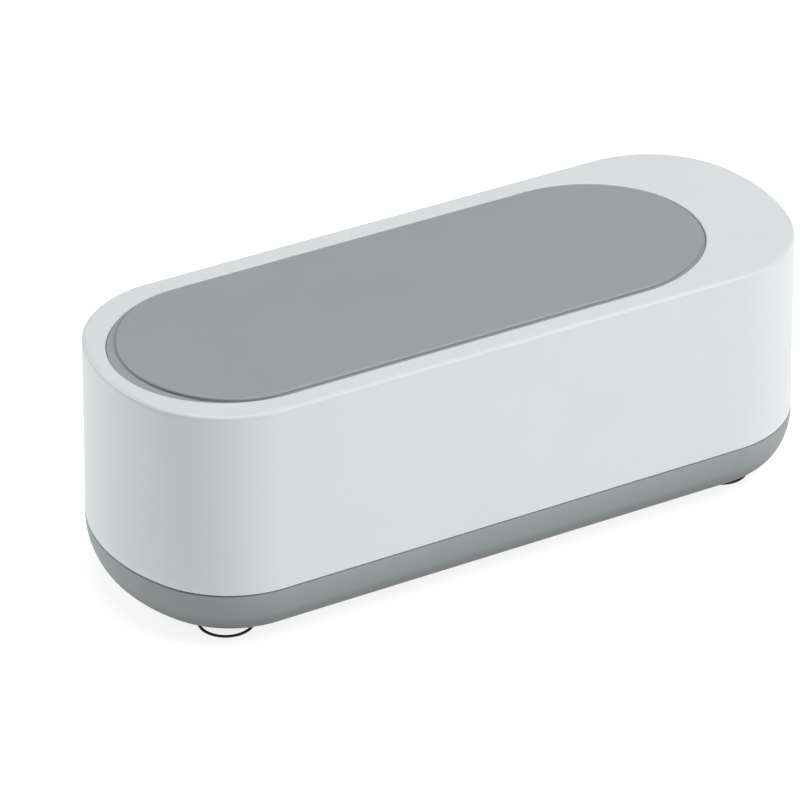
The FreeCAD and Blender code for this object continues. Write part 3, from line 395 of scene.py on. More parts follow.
def make_housing():
    under_top = RIM_Z - TOP_THICKNESS
    outer = [(-0.4, HOUSING_BOTTOM_Z)]
    outer += rounding((-0.3, HOUSING_BOTTOM_Z), (0.0, HOUSING_BOTTOM_Z), (0.0, HOUSING_BOTTOM_Z + 0.3), 4)
    outer += straight(outer[-1], (0.0, RIM_Z - RIM_FILLET - 0.1), 20)
    outer += [(0.0, RIM_Z - RIM_FILLET - 0.1)]
    outer += rounding((0.0, RIM_Z - RIM_FILLET), (0.0, RIM_Z), (-RIM_FILLET, RIM_Z), 8)
    outer += [(-RIM_FILLET - 0.08, RIM_Z)]
    well = [(OPENING_FILLET + 0.08, RIM_Z)]
    well += rounding((OPENING_FILLET, RIM_Z), (0.0, RIM_Z), (0.0, RIM_Z - OPENING_FILLET), 6)
    well += [(0.0, RIM_Z - OPENING_FILLET - 0.1), (0.0, LEDGE_TOP_Z + 0.1), (0.0, LEDGE_TOP_Z),
             (-0.1, LEDGE_TOP_Z)]
    well += rounding((-LEDGE_WIDTH + 0.3, LEDGE_TOP_Z), (-LEDGE_WIDTH, LEDGE_TOP_Z),
                     (-LEDGE_WIDTH, LEDGE_TOP_Z - 0.3), 4)
    well += [(-LEDGE_WIDTH, LEDGE_BOTTOM_Z), (WELL_WALL, LEDGE_BOTTOM_Z), (WELL_WALL, under_top)]
    inner = [(-WALL, under_top), (-WALL, under_top - 0.1)]
    inner += straight((-WALL, under_top - 0.1), (-WALL, HOUSING_BOTTOM_Z + 0.1), 6)
    inner += [(-WALL, HOUSING_BOTTOM_Z + 0.1), (-WALL, HOUSING_BOTTOM_Z)]
    loops = [wall_loop(*p) for p in outer] + [well_loop(*p) for p in well] + [wall_loop(*p) for p in inner]
    shell = skin(loops, closed=True)

    clamp_y = WELL_OVAL[0] + CLAMP_SCREW_OUTSET
    clamp = pairs([WELL_X + step for step in (-CLAMP_SCREW_STEP, 0.0, CLAMP_SCREW_STEP)], clamp_y)
    clamp.append((WELL_X + WELL_OVAL[1] + CLAMP_SCREW_OUTSET, 0.0))
    base_screws = pairs((-BASE_SCREWS[0], BASE_SCREWS[0]), BASE_SCREWS[1])
    added = [post(x, y, CLAMP_BOSS_BOTTOM_Z, under_top + 0.1, CLAMP_BOSS_R) for x, y in clamp]
    for x, y in base_screws:
        side = math.copysign(1.0, y)
        wall_y = side * WEB_END_Y
        web_x = (x - WEB_HALF_THICKNESS, x + WEB_HALF_THICKNESS)
        added.append(post(x, y, HOUSING_BOTTOM_Z, SCREW_BOSS_TOP_Z, SCREW_BOSS_R))
        added.append(box(web_x, sorted((y, wall_y)), (TONGUE_TOP_Z + 0.4, SCREW_BOSS_TOP_Z)))
        added.append(box(web_x, sorted((y + side * (SCREW_BOSS_R - 0.1), wall_y)),
                         (SCREW_BOSS_TOP_Z - 0.1, WEB_TOP_Z)))
    screw_y, screw_z = CONTROL_SCREW
    for y in (-screw_y, screw_y):
        added.append(pin(CONTROL_X, CONTROL_BOSS_END_X, y, screw_z, CONTROL_BOSS_R, 32))
    shell = combined(shell, added, "UNION")

    cut = [post(x, y, CLAMP_BOSS_BOTTOM_Z - 3.7, under_top - 0.2, CLAMP_HOLE_R, 24) for x, y in clamp]
    cut += [post(x, y, 10.0, SCREW_HOLE_TOP_Z, SCREW_HOLE_R, 24) for x, y in base_screws]
    for y in (-screw_y, screw_y):
        cut.append(pin(CONTROL_X - 4.0, CONTROL_X + 5.0, y, screw_z, CONTROL_HOLE_R, 24))
    dish_x = end_wall_x(BUTTON_Z) - BUTTON_DISH_DEPTH
    dish_end_r = BUTTON_DISH_R + 0.4
    hole_r = BUTTON_R + BUTTON_CLEARANCE
    dish = [(0, END_INNER_X), (hole_r, END_INNER_X), (hole_r, dish_x), (BUTTON_DISH_FLOOR_R, dish_x)]
    dish += rounding((BUTTON_DISH_FLOOR_R, dish_x), (BUTTON_DISH_R, dish_x), (dish_end_r, dish_x + 1.4), 8)[1:]
    dish += [(dish_end_r, END_X), (0, END_X)]
    cut.append(lathe(dish, 96, "x", (0, 0, BUTTON_Z)))
    cut.append(pin(END_INNER_X, END_X, 0, LENS_Z, LENS_R + 0.1, 48))
    pocket_x = end_wall_x(USB_Z) - USB_POCKET_DEPTH
    cut.append(bar((END_INNER_X, pocket_x + 0.3), USB_Z, USB_SLOT, 10))
    cut.append(bar((pocket_x, END_X), USB_Z, USB_POCKET, 14))
    return merged(combined(shell, cut, "DIFFERENCE"))


def make_lid():
    """A flange that lies in the well, a raised panel on it, and a locating rib below."""
    under = LID_TOP_Z - LID_SHEET
    step_z = LID_FLANGE_TOP_Z
    top = [(-CAP_INSET, LID_TOP_Z), (-CAP_INSET / 2, LID_TOP_Z), (-LID_FILLET - 0.1, LID_TOP_Z)]
    top += rounding((-LID_FILLET, LID_TOP_Z), (0.0, LID_TOP_Z), (0.0, LID_TOP_Z - LID_FILLET), 8)
    top += [(0.0, step_z + 0.05), (0.03, step_z)]
    side = -LID_GAP
    edge = [(side - 0.16, step_z)]
    edge += rounding((side - 0.12, step_z), (side, step_z), (side, step_z - 0.12), 5)
    edge += [(side, LID_BOTTOM_Z + 0.25), (side - 0.2, LID_BOTTOM_Z), (side - LID_EDGE + 0.1, LID_BOTTOM_Z),
             (side - LID_EDGE, LID_BOTTOM_Z + 0.1), (side - LID_EDGE, under - 0.4)]
    edge_end = side - LID_EDGE
    edge += rounding((edge_end, under - 0.3), (edge_end, under), (edge_end - 0.3, under), 4)
    rib = -LID_RIB_INSET
    edge += [(rib, under), (rib, LEDGE_BOTTOM_Z + 0.3)]
    edge += rounding((rib, LEDGE_BOTTOM_Z + 0.2), (rib, LEDGE_BOTTOM_Z), (rib - 0.2, LEDGE_BOTTOM_Z), 3)
    inner = rib - LID_RIB
    edge += rounding((inner + 0.2, LEDGE_BOTTOM_Z), (inner, LEDGE_BOTTOM_Z), (inner, LEDGE_BOTTOM_Z + 0.2), 3)
    edge += [(inner, under - 0.1), (inner, under), (inner - 0.1, under), (-CAP_INSET, under)]
    loops = [panel_loop(*p) for p in top] + [well_loop(*p) for p in edge]
    lid = skin(loops, low_cap=True, high_cap=True)
    half_span = WELL_OVAL[0] - LID_RIB_INSET - LID_RIB / 2
    ribs = []
    for step in LID_CROSS_RIB_STEPS:
        rib_x = (WELL_X + step - LID_CROSS_RIB / 2, WELL_X + step + LID_CROSS_RIB / 2)
        ribs.append(box(rib_x, (-half_span, half_span), (LEDGE_TOP_Z, under + 0.1)))
    return merged(combined(lid, ribs, "UNION"))


def make_base_tray():
    round_top = SEAM_Z - BASE_LIP
    points = [(-BASE_CAP_INSET, BASE_BOTTOM_Z), (-BASE_ROUND - 0.2, BASE_BOTTOM_Z)]
    points += rounding((-BASE_ROUND, BASE_BOTTOM_Z), (0.0, BASE_BOTTOM_Z), (0.0, round_top), 20)
    points += [(0.0, SEAM_Z - 0.45)]
    points += rounding((0.0, SEAM_Z - 0.35), (0.0, SEAM_Z), (-0.35, SEAM_Z), 4)
    points += [(-SEAL_OUTER, SEAM_Z), (-SEAL_OUTER, SEAM_Z - SEAL_DEPTH), (-SEAL_INNER, SEAM_Z - SEAL_DEPTH),
               (-SEAL_INNER, SEAM_Z), (-2.5, SEAM_Z), (-2.5, TONGUE_TOP_Z - 0.3), (-2.7, TONGUE_TOP_Z),
               (-BASE_WALL + 0.2, TONGUE_TOP_Z), (-BASE_WALL, TONGUE_TOP_Z - 0.3)]
    points += rounding((-BASE_WALL, BASE_INNER_ROUND_TOP_Z), (-BASE_WALL, BASE_FLOOR_Z),
                       (-BASE_ROUND, BASE_FLOOR_Z), 10)
    points += [(-BASE_ROUND - 0.2, BASE_FLOOR_Z), (-BASE_CAP_INSET, BASE_FLOOR_Z)]
    tray = skin([tray_loop(*p) for p in points], low_cap=True, high_cap=True)
    screws = pairs((-BASE_SCREWS[0], BASE_SCREWS[0]), BASE_SCREWS[1])
    boards = pairs(*DRIVER_SCREWS)
    low = BASE_FLOOR_Z - 0.5
    added = [post(x, y, BASE_BOTTOM_Z + 0.5, SEAM_Z, COUNTERBORE_R + COUNTERBORE_WALL, 48) for x, y in screws]
    added += [post(x, y, low, DRIVER_POST_TOP_Z, DRIVER_POST_R) for x, y in boards]
    added += [box((x - BASE_RIB / 2, x + BASE_RIB / 2), (-BASE_CAP_INSET, BASE_CAP_INSET),
                  (low, BASE_FLOOR_Z + BASE_RIB_HEIGHT)) for x in BASE_RIB_X]
    tray = combined(tray, added, "UNION")
    mouth_r = COUNTERBORE_R + COUNTERBORE_CHAMFER
    bore = [(0, 0), (mouth_r, 0), (mouth_r, BASE_BOTTOM_Z), (COUNTERBORE_R, BASE_BOTTOM_Z + COUNTERBORE_CHAMFER),
            (COUNTERBORE_R, COUNTERBORE_TOP_Z), (SCREW_CLEARANCE_R, COUNTERBORE_TOP_Z),
            (SCREW_CLEARANCE_R, SEAM_Z + 1.6), (0, SEAM_Z + 1.6)]
    cut = [lathe(bore, 48, centre=(x, y, 0)) for x, y in screws]
    cut += [post(x, y, 4.0, DRIVER_POST_TOP_Z + 1.0, DRIVER_HOLE_R, 24) for x, y in boards]
    for name in FEET:
        x, y = foot_centre(name)
        cut.append(post(x, y, 0.0, FOOT_HOLE_TOP_Z, FOOT_NECK_R + 0.1, 48))
    cut.append(label_recess())
    return merged(combined(tray, cut, "DIFFERENCE"))


def label_recess():
    """A shallow plain field under the tray, with round corners and sloping sides."""
    corner_x, corner_y = (side / 2 - LABEL_CORNER_R for side in LABEL_SIZE)
    steps = 6
    count = 4 * (steps + 1)
    verts = []
    for z, grow in ((0.0, 0.0), (BASE_BOTTOM_Z, LABEL_SLOPE), (BASE_BOTTOM_Z + LABEL_DEPTH, 0.0)):
        radius = LABEL_CORNER_R + grow
        for quarter, (sx, sy) in enumerate(((1, 1), (-1, 1), (-1, -1), (1, -1))):
            for step in range(steps + 1):
                angle = math.pi / 2 * (quarter + step / steps)
                verts.append((sx * corner_x + radius * math.cos(angle),
                              sy * corner_y + radius * math.sin(angle), z))
    faces = [tuple(range(count)), tuple(range(2 * count, 3 * count))]
    for row in (0, 1):
        faces += [(row * count + i, row * count + (i + 1) % count, (row + 1) * count + (i + 1) % count,
                   (row + 1) * count + i) for i in range(count)]
    return mesh_from(verts, faces)


FEET = ("foot_front_left", "foot_front_right", "foot_rear_left", "foot_rear_right")


def foot_centre(node):
    low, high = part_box(node)
    return ((low.x + high.x) / 2 / MM, (low.y + high.y) / 2 / MM)


def make_foot(node):
    """A clear cup: a bulb that snaps into the tray, a neck, and a thin flared skirt with a bead."""
    x, y = foot_centre(node)
    bulb, top = FOOT_BULB_R, FOOT_BULB_TOP_Z
    points = [(0, top), (bulb - 2.2, top)]
    points += rounding((bulb - 2.2, top), (bulb, top - 0.6), (bulb, BASE_FLOOR_Z + 0.4), 5)[1:]
    points += [(bulb, BASE_FLOOR_Z + 0.1), (FOOT_NECK_R, BASE_FLOOR_Z + 0.05), (FOOT_NECK_R, BASE_BOTTOM_Z)]
    points += rounding((3.9, BASE_BOTTOM_Z), (4.4, 1.15), (FOOT_R - 0.75, 0.56), 8)
    for step in range(9):
        angle = math.radians(120 - 210 * step / 8)
        points.append((FOOT_R - FOOT_BEAD_R * (1 - math.cos(angle)), FOOT_BEAD_R * (1 + math.sin(angle))))
    points += rounding((FOOT_R - 0.9, 0.14), (4.2, 1.0), (3.0, FOOT_HOLLOW_Z), 6) + [(0, FOOT_HOLLOW_Z)]
    return lathe(points, 96, centre=(x, y, 0))


# ---- Tank ----

def make_tank():
    """Deep drawn sheet, with a pressed bead at the fill line."""
    lip, sheet, corner = TANK_LIP, TANK_SHEET, TANK_CORNER
    upper_half = [(0.0, 1.6), (-0.15, 1.1), (-0.5, 0.5)]
    profile = upper_half + [(-0.6, 0.0)] + [(o, -h) for o, h in reversed(upper_half)]
    bead = [(o, FILL_LINE_Z + h) for o, h in profile]
    inside = [(TANK_FLANGE, FLANGE_TOP_Z), (lip + 0.1, FLANGE_TOP_Z)]
    inside += rounding((lip, FLANGE_TOP_Z), (0.0, FLANGE_TOP_Z), (0.0, FLANGE_TOP_Z - lip), 6)
    inside += bead + straight(bead[-1], (0.0, TANK_FLOOR_Z + corner), 5)
    inside += rounding((0.0, TANK_FLOOR_Z + corner), (0.0, TANK_FLOOR_Z), (-corner, TANK_FLOOR_Z), 12)
    inside += [(-corner - 0.3, TANK_FLOOR_Z), (-CAP_INSET, TANK_FLOOR_Z)]
    under = TANK_FLOOR_Z - sheet
    outside = [(-CAP_INSET, under), (-corner - 0.3, under)]
    outside += rounding((-corner, under), (sheet, under), (sheet, TANK_FLOOR_Z + corner), 12)
    outside += [(o + sheet, z) for o, z in reversed(bead)]
    flange_under = FLANGE_TOP_Z - sheet
    outside += rounding((sheet, FLANGE_TOP_Z - lip), (sheet, flange_under), (lip, flange_under), 5)
    outside += [(TANK_FLANGE, flange_under)]
    loops = [well_loop(o - TANK_INSET, z) for o, z in outside + inside]
    return skin(loops, low_cap=True, high_cap=True)


def make_button():
    """A cap with a collar behind the end wall and a shallow hollow for the fingertip."""
    face = end_wall_x(BUTTON_Z) + 0.15
    back, front = BUTTON_BACK_X, BUTTON_BACK_X + BUTTON_COLLAR
    collar = BUTTON_COLLAR_R
    points = [(0, back), (collar - 0.2, back), (collar, back + 0.2), (collar, front - 0.2), (collar - 0.2, front)]
    points += [(BUTTON_R, front), (BUTTON_R, face - 0.8)]
    points += rounding((BUTTON_R, face - 0.7), (BUTTON_R, face), (BUTTON_R - 0.7, face), 6)
    points += [(BUTTON_HOLLOW_R + 0.2, face), (BUTTON_HOLLOW_R, face - 0.03)]
    for step in range(1, 7):
        depth = BUTTON_HOLLOW_DEPTH * math.sin(math.pi / 2 * step / 6) ** 1.3
        points.append((BUTTON_HOLLOW_R * (1 - step / 6), face - 0.03 - depth))
    return lathe(points, 72, "x", (0, 0, BUTTON_Z))


def make_lens():
    """A light pipe with a collar behind the end wall and a domed face."""
    face = end_wall_x(LENS_Z) + 0.1
    back = CONTROL_X + 3
    low, high, collar = back + 1.2, back + 2.2, LENS_COLLAR_R
    points = [(0, back), (LENS_R - 0.1, back), (LENS_R, back + 0.1), (LENS_R, low)]
    points += [(collar - 0.1, low), (collar, low + 0.1), (collar, high - 0.1), (collar - 0.1, high)]
    points += [(LENS_R, high), (LENS_R, face - 0.75)]
    points += rounding((LENS_R, face - 0.7), (LENS_R, face), (0.0, face), 8)
    return lathe(points, 40, "x", (0, 0, LENS_Z))


# ---- Materials ----

class Finish:
    """A node material: a Principled shader with noise in its colour, its roughness and its bump."""

    def __init__(self, name):
        self.material = bpy.data.materials.new(name)
        self.material.use_nodes = True
        self.nodes = self.material.node_tree.nodes
        self.links = self.material.node_tree.links
        self.shader = self.nodes["Principled BSDF"]
        self.place = self.nodes.new("ShaderNodeTexCoord").outputs["Object"]

    def node(self, kind, **inputs):
        made = self.nodes.new("ShaderNode" + kind)
        for key, value in inputs.items():
            socket = made.inputs[key.replace("_", " ")]
            if isinstance(value, bpy.types.NodeSocket):
                self.links.new(value, socket)
            else:
                socket.default_value = value
        return made

    def stretched(self, scale):
        mapping = self.node("Mapping", Vector=self.place, Scale=scale)
        return mapping.outputs["Vector"]

    def noise(self, size_mm, detail=3.0, roughness=0.5, vector=None):
        made = self.node("TexNoise", Vector=vector or self.place, Scale=1.0 / (size_mm * MM), Detail=detail,
                         Roughness=roughness)
        return made.outputs["Fac"]

    def ramp(self, factor, stops):
        made = self.nodes.new("ShaderNodeValToRGB")
        self.links.new(factor, made.inputs["Fac"])
        elements = made.color_ramp.elements
        while len(elements) < len(stops):
            elements.new(0.5)
        for element, (position, colour) in zip(elements, stops):
            element.position = position
            element.color = (*colour, 1.0) if isinstance(colour, tuple) else (colour, colour, colour, 1.0)
        return made.outputs["Color"]

    def mixed(self, factor, first, second, blend="MIX"):
        made = self.nodes.new("ShaderNodeMix")
        made.data_type = "RGBA"
        made.blend_type = blend
        for index, value in ((0, factor), (6, first), (7, second)):
            if isinstance(value, bpy.types.NodeSocket):
                self.links.new(value, made.inputs[index])
            else:
                made.inputs[index].default_value = (*value, 1.0) if isinstance(value, tuple) else value
        return made.outputs[2]

    def maths(self, operation, first, second):
        made = self.nodes.new("ShaderNodeMath")
        made.operation = operation
        for index, value in enumerate((first, second)):
            if isinstance(value, bpy.types.NodeSocket):
                self.links.new(value, made.inputs[index])
            else:
                made.inputs[index].default_value = value
        return made.outputs[0]

    def colour(self, socket):
        self.links.new(socket, self.shader.inputs["Base Color"])
        return self

    def rough(self, socket, low, high):
        made = self.node("MapRange", Value=socket, To_Min=low, To_Max=high)
        self.links.new(made.outputs["Result"], self.shader.inputs["Roughness"])
        return self

    def bump(self, height, depth_mm):
        previous = self.shader.inputs["Normal"]
        made = self.node("Bump", Height=height, Distance=depth_mm * MM)
        if previous.is_linked:
            self.links.new(previous.links[0].from_socket, made.inputs["Normal"])
        self.links.new(made.outputs["Normal"], previous)
        return self

    def set(self, **inputs):
        for key, value in inputs.items():
            self.shader.inputs[key.replace("_", " ")].default_value = value
        return self


def shades(colour, spread):
    """Darker and lighter versions of a colour."""
    return tuple(c * (1 - spread) for c in colour), tuple(min(1.0, c * (1 + spread)) for c in colour)


def plastic(name, colour, rough, spread, grain_mm, grain_depth, wave_depth):
    """Moulded plastic: fine spark-eroded grain, slow waves from shrinkage, faint clouds of colour."""
    f = Finish(name)
    low, high = shades(colour, spread)
    clouds = f.noise(26.0, 4.0, 0.55)
    specks = f.noise(0.8, 2.0)
    wide = f.ramp(clouds, ((0.3, low), (0.7, high)))
    narrow = f.ramp(clouds, ((0.3, colour), (0.7, high)))
    f.colour(f.mixed(specks, wide, narrow))
    f.rough(f.noise(9.0, 5.0, 0.6), rough - 0.04, rough + 0.05)
    f.bump(f.noise(30.0, 1.0), wave_depth)
    return f.bump(f.noise(grain_mm, 2.0), grain_depth)


def painted_shade_below(f):
    """Painted shade: the colour gets darker the more a face looks down, standing in for the deeper shade there.
    """
    normal = f.nodes.new("ShaderNodeTexCoord").outputs["Normal"]
    height = f.node("SeparateXYZ", Vector=normal).outputs["Z"]
    share = f.node("MapRange", Value=height, From_Min=-0.9, From_Max=0.0).outputs["Result"]
    shade = f.ramp(share, ((0.0, 0.16), (0.15, 0.16), (0.4, 0.40), (0.66, 0.78), (1.0, 1.0)))
    plain = f.shader.inputs["Base Color"].links[0].from_socket
    return f.colour(f.mixed(1.0, plain, shade, "MULTIPLY"))


def metal(name, colour, rough, grain=(1.0, 1.0, 1.0), grain_mm=0.5, spread=0.08, depth=0.003):
    """Bare or plated metal with drawing or tumbling marks."""
    f = Finish(name)
    low, high = shades(colour, spread)
    marks = f.noise(grain_mm, 5.0, 0.65, f.stretched(grain))
    stains = f.noise(14.0, 4.0, 0.6)
    clean = f.ramp(marks, ((0.3, low), (0.7, high)))
    stained = f.ramp(marks, ((0.3, low), (0.7, colour)))
    f.colour(f.mixed(stains, clean, stained))
    f.rough(f.mixed(0.5, marks, stains), rough - 0.08, rough + 0.12)
    f.bump(marks, depth)
    return f.set(Metallic=1.0)


def rubber(name, colour, rough=0.6):
    f = Finish(name)
    low, high = shades(colour, 0.12)
    f.colour(f.ramp(f.noise(2.5, 4.0, 0.6), ((0.3, low), (0.75, high))))
    f.rough(f.noise(1.2, 3.0), rough - 0.06, rough + 0.1)
    return f.bump(f.noise(0.25, 2.0), 0.006)


def clear(name, tint, rough):
    f = Finish(name)
    low, high = shades(tint, 0.02)
    f.colour(f.ramp(f.noise(3.0, 3.0), ((0.3, low), (0.7, high))))
    f.rough(f.noise(2.0, 3.0), rough, rough + 0.06)
    f.bump(f.noise(1.6, 2.0), 0.006)
    return f.set(Transmission_Weight=1.0, IOR=1.45)


def thin_clear(name, tint, rough):
    """Thin clear vinyl: almost all light goes straight through, and the curved edge keeps some."""
    f = Finish(name)
    low, high = shades(tint, 0.01)
    f.colour(f.ramp(f.noise(2.0, 3.0), ((0.3, low), (0.7, high))))
    f.rough(f.noise(1.5, 3.0), rough - 0.04, rough + 0.1)
    f.bump(f.noise(1.2, 2.0), 0.01)
    facing = f.node("LayerWeight", Blend=0.35).outputs["Facing"]
    solid = f.node("MapRange", Value=facing, From_Min=0.2, From_Max=1.0, To_Min=0.04, To_Max=0.32)
    f.links.new(solid.outputs["Result"], f.shader.inputs["Alpha"])
    return f.set(IOR=1.45)


def board(name):
    """Green solder mask over copper: tracks show as raised lighter lines, with a fibre weave under them."""
    f = Finish(name)
    tracks = f.node("TexBrick", Vector=f.place, Scale=160.0, Mortar_Size=0.012,
                    Mortar_Smooth=0.1, Bias=0.0, Brick_Width=0.62, Row_Height=0.31)
    tracks.offset = 0.37
    weave = f.node("TexChecker", Vector=f.place, Scale=1.0 / (0.55 * MM))
    ground = f.mixed(weave.outputs["Fac"], (0.012, 0.12, 0.045), (0.016, 0.14, 0.055))
    clouds = f.mixed(f.maths("MULTIPLY", f.noise(5.0, 3.0), 0.35), ground, (0.02, 0.19, 0.08))
    f.colour(f.mixed(tracks.outputs["Fac"], clouds, (0.06, 0.36, 0.14)))
    f.rough(f.noise(3.0, 3.0), 0.22, 0.4)
    f.bump(tracks.outputs["Fac"], 0.035)
    return f.set(Coat_Weight=0.4, Coat_Roughness=0.15)


def winding(name):
    """Tape over round wire: turns show as ridges across the coil."""
    f = Finish(name)
    wave = f.node("TexWave", Vector=f.place, Scale=0.16 / (0.9 * MM), Distortion=0.4, Detail=1.0)
    wave.bands_direction = "Z"
    turns = f.mixed(0.35, wave.outputs["Fac"], f.noise(1.5))
    f.colour(f.ramp(turns, ((0.2, (0.42, 0.24, 0.03)), (0.8, (0.72, 0.5, 0.1)))))
    f.rough(f.noise(1.0), 0.2, 0.4)
    return f.bump(wave.outputs["Fac"], 0.05)


def silver_face(name):
    """Fired silver electrode: matte, with brush marks and darker age spots."""
    f = Finish(name)
    marks = f.noise(0.7, 5.0, 0.6, f.stretched((0.15, 1.0, 1.0)))
    spots = f.ramp(f.noise(3.0, 4.0, 0.6), ((0.62, 0.0), (0.72, 1.0)))
    base = f.ramp(marks, ((0.25, (0.60, 0.58, 0.54)), (0.75, (0.80, 0.78, 0.74))))
    f.colour(f.mixed(spots, base, (0.45, 0.41, 0.35)))
    f.rough(marks, 0.42, 0.62)
    f.bump(marks, 0.01)
    return f.set(Metallic=0.75)


WHITE = (0.717, 0.745, 0.752)
LID_GREY = (0.325, 0.362, 0.361)
BASE_GREY = (0.292, 0.324, 0.324)


def finishes():
    made = {
        "casing_white": plastic("casing_white", WHITE, 0.36, 0.012, 0.3, 0.003, 0.015),
        "lid_grey": plastic("lid_grey", LID_GREY, 0.36, 0.03, 0.4, 0.006, 0.02),
        # The base tray's colour carries painted shade, darker towards its underside.
        "base_grey": painted_shade_below(plastic("base_grey", BASE_GREY, 0.46, 0.03, 0.4, 0.006, 0.02)),
        "button_grey": plastic("button_grey", LID_GREY, 0.4, 0.03, 0.3, 0.004, 0.006),
        "silicone_grey": rubber("silicone_grey", (0.36, 0.37, 0.37)),
        "zinc_steel": metal("zinc_steel", (0.62, 0.62, 0.60), 0.32, (1.0, 1.0, 0.3), 0.25),
        "clear_cup": thin_clear("clear_cup", (0.97, 0.98, 0.98), 0.12),
        # Near-black lip colour: a painted dark edge standing in for the darkness a clear rim shows by refraction.
        "cup_lip_painted_dark": rubber("cup_lip_painted_dark", (0.035, 0.037, 0.042), 0.3).set(Specular_IOR_Level=0.25),
        "tank_steel": metal("tank_steel", (0.60, 0.60, 0.59), 0.3, (1.0, 1.0, 0.12), 0.3, 0.04, 0.0012),
        "frame_black": plastic("frame_black", (0.03, 0.03, 0.033), 0.5, 0.2, 0.3, 0.01, 0.01),
        "plate_aluminium": metal("plate_aluminium", (0.72, 0.72, 0.72), 0.34, (0.08, 1.0, 1.0), 0.35),
        "piezo_ceramic": silver_face("piezo_ceramic"),
        "lead_red": rubber("lead_red", (0.45, 0.02, 0.02), 0.42),
        "lead_black": rubber("lead_black", (0.02, 0.02, 0.02), 0.42),
        "lead_white": rubber("lead_white", (0.62, 0.62, 0.6), 0.42),
        "connector_nylon": plastic("connector_nylon", (0.68, 0.65, 0.56), 0.42, 0.04, 0.2, 0.006, 0.01),
        "board_green": board("board_green"),
        "ferrite": plastic("ferrite", (0.045, 0.045, 0.05), 0.62, 0.25, 0.15, 0.02, 0.0),
        "bobbin_black": plastic("bobbin_black", (0.022, 0.022, 0.022), 0.45, 0.2, 0.2, 0.01, 0.0),
        "winding_tape": winding("winding_tape"),
        "capacitor_sleeve": plastic("capacitor_sleeve", (0.015, 0.02, 0.06), 0.24, 0.2, 0.9, 0.01, 0.0),
        "film_red": plastic("film_red", (0.42, 0.035, 0.02), 0.22, 0.12, 1.2, 0.03, 0.02),
        "chip_epoxy": plastic("chip_epoxy", (0.022, 0.022, 0.025), 0.55, 0.2, 0.15, 0.012, 0.0),
        "chip_ceramic": plastic("chip_ceramic", (0.20, 0.14, 0.10), 0.5, 0.2, 0.3, 0.01, 0.0),
        "led_body": plastic("led_body", (0.78, 0.78, 0.70), 0.2, 0.06, 0.3, 0.004, 0.0),
        "lens_clear": clear("lens_clear", (0.86, 0.90, 0.92), 0.22),
        "socket_steel": metal("socket_steel", (0.66, 0.65, 0.62), 0.25, (0.2, 1.0, 1.0), 0.3),
    }
    return {name: finish.material for name, finish in made.items()}


# ---- The pieces ----

MATERIALS = finishes()
SLOT_OF = {part["node"]: part["material_slot"] for part in frame["record"]["subparts"]}
BODY_OF = {node: body for body, nodes in frame["record"]["behaviour"]["bodies"].items() for node in nodes}

shells = {
    "housing": ("housing_shell", make_housing()),
    "lid": ("lid_shell", make_lid()),
    "base_tray": ("base_tray_shell", make_base_tray()),
    "tank": ("tank_drawn", make_tank()),
    "power_button": ("power_button_cap", make_button()),
    "indicator_lens": ("indicator_lens_stem", make_lens()),
}
for foot in FEET:
    shells[foot] = (foot.replace("foot", "cup_foot"), make_foot(foot))

for node, (name, mesh) in shells.items():
    made = piece(name, mesh, node, BODY_OF[node])
    made.data.materials.append(MATERIALS[SLOT_OF[node]])
    # Each foot's outer bead gets the near-black lip colour, a painted dark edge in place of refraction.
    if node in FEET:
        made.data.materials.append(MATERIALS["cup_lip_painted_dark"])
        x, y = foot_centre(node)
        for face in made.data.polygons:
            away = math.hypot(face.center.x / MM - x, face.center.y / MM - y)
            face.material_index = 1 if away > FOOT_R - 2.2 * FOOT_BEAD_R else 0

for node, thing in frame["nodes"].items():
    if node not in shells:
        thing.data.materials.clear()
        thing.data.materials.append(MATERIALS[SLOT_OF[node]])


# ---- Floor, light and camera, in metres ----

LIGHT_DISTANCE = 1.7
FLOOR_HALF = 3.0
CAMERA_AZIMUTH = -119.645
CAMERA_ELEVATION = 30.869
CAMERA_DISTANCE = 1.454
CAMERA_TARGET = (-0.01871, -0.0091, 0.04372)
FOCAL_LENGTH_MM = 245.2


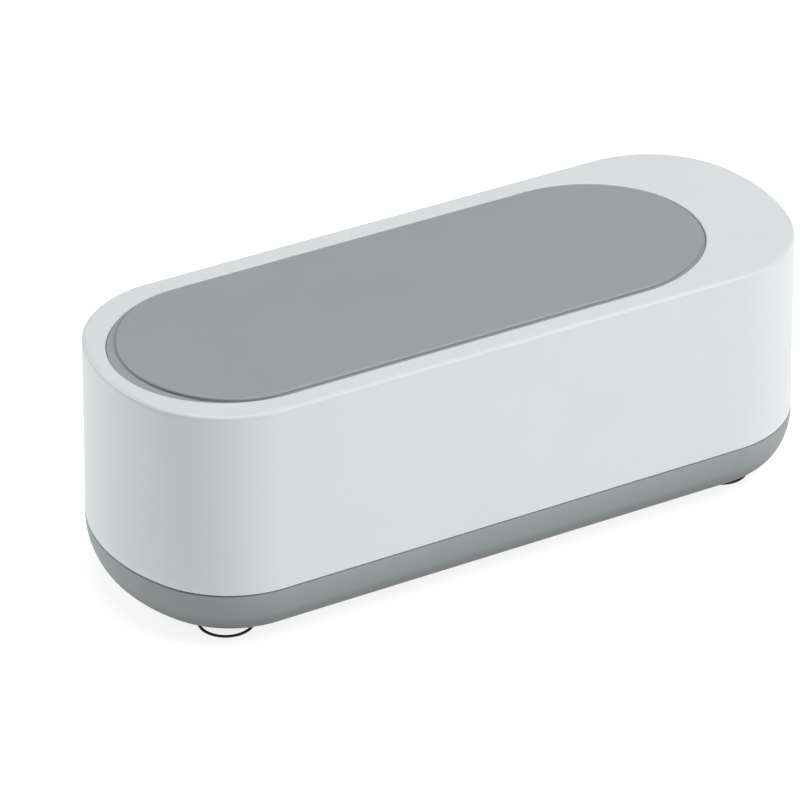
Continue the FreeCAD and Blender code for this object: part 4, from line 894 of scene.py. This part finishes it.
def aimed(thing, azimuth, elevation, distance, target):
    """Put a light or camera in a direction from a point, and aim it there. Azimuth 0 is +X, 90 is +Y."""
    az, el = math.radians(azimuth), math.radians(elevation)
    away = Vector((math.cos(az) * math.cos(el), math.sin(az) * math.cos(el), math.sin(el)))
    thing.location = Vector(target) + away * distance
    thing.rotation_euler = (-away).to_track_quat("-Z", "Y").to_euler()


def softbox(name, azimuth, elevation, width, watts):
    light = bpy.data.lights.new(name, "AREA")
    light.size = width
    light.energy = watts
    thing = bpy.data.objects.new(name, light)
    bpy.context.scene.collection.objects.link(thing)
    aimed(thing, azimuth, elevation, LIGHT_DISTANCE, (0.0, 0.0, 0.04))


def make_floor():
    half = FLOOR_HALF
    mesh = bpy.data.meshes.new("floor")
    mesh.from_pydata([(-half, -half, 0), (half, -half, 0), (half, half, 0), (-half, half, 0)], [], [(0, 1, 2, 3)])
    floor = bpy.data.objects.new("floor", mesh)
    bpy.context.scene.collection.objects.link(floor)
    f = Finish("floor_white")
    f.colour(f.ramp(f.noise(400.0, 2.0), ((0.3, (0.32, 0.32, 0.32)), (0.7, (0.33, 0.33, 0.33)))))
    f.set(Roughness=0.9, Specular_IOR_Level=0.0, Emission_Color=(1.0, 1.0, 1.0, 1.0), Emission_Strength=0.85)
    mesh.materials.append(f.material)


make_floor()
softbox("key", -50.0, 25.0, 1.0, 6.8)
softbox("fill_back_left", 130.0, 25.0, 1.0, 10.0)
softbox("front_high", -50.0, 50.0, 0.55, 10.0)
softbox("back_high", 60.0, 60.0, 1.0, 4.0)
softbox("top", 0.0, 88.0, 1.0, 11.0)

world = bpy.data.worlds.new("studio")
bpy.context.scene.world = world
world.use_nodes = True
background = world.node_tree.nodes["Background"]
background.inputs["Color"].default_value = (1.0, 1.0, 1.0, 1.0)
background.inputs["Strength"].default_value = 0.08
bpy.context.scene.view_settings.view_transform = "Standard"

lens = bpy.data.cameras.new("camera")
lens.lens = FOCAL_LENGTH_MM
lens.sensor_width = 36.0
camera = bpy.data.objects.new("camera", lens)
bpy.context.scene.collection.objects.link(camera)
aimed(camera, CAMERA_AZIMUTH, CAMERA_ELEVATION, CAMERA_DISTANCE, CAMERA_TARGET)
bpy.context.scene.camera = camera

bpy.context.view_layer.update()
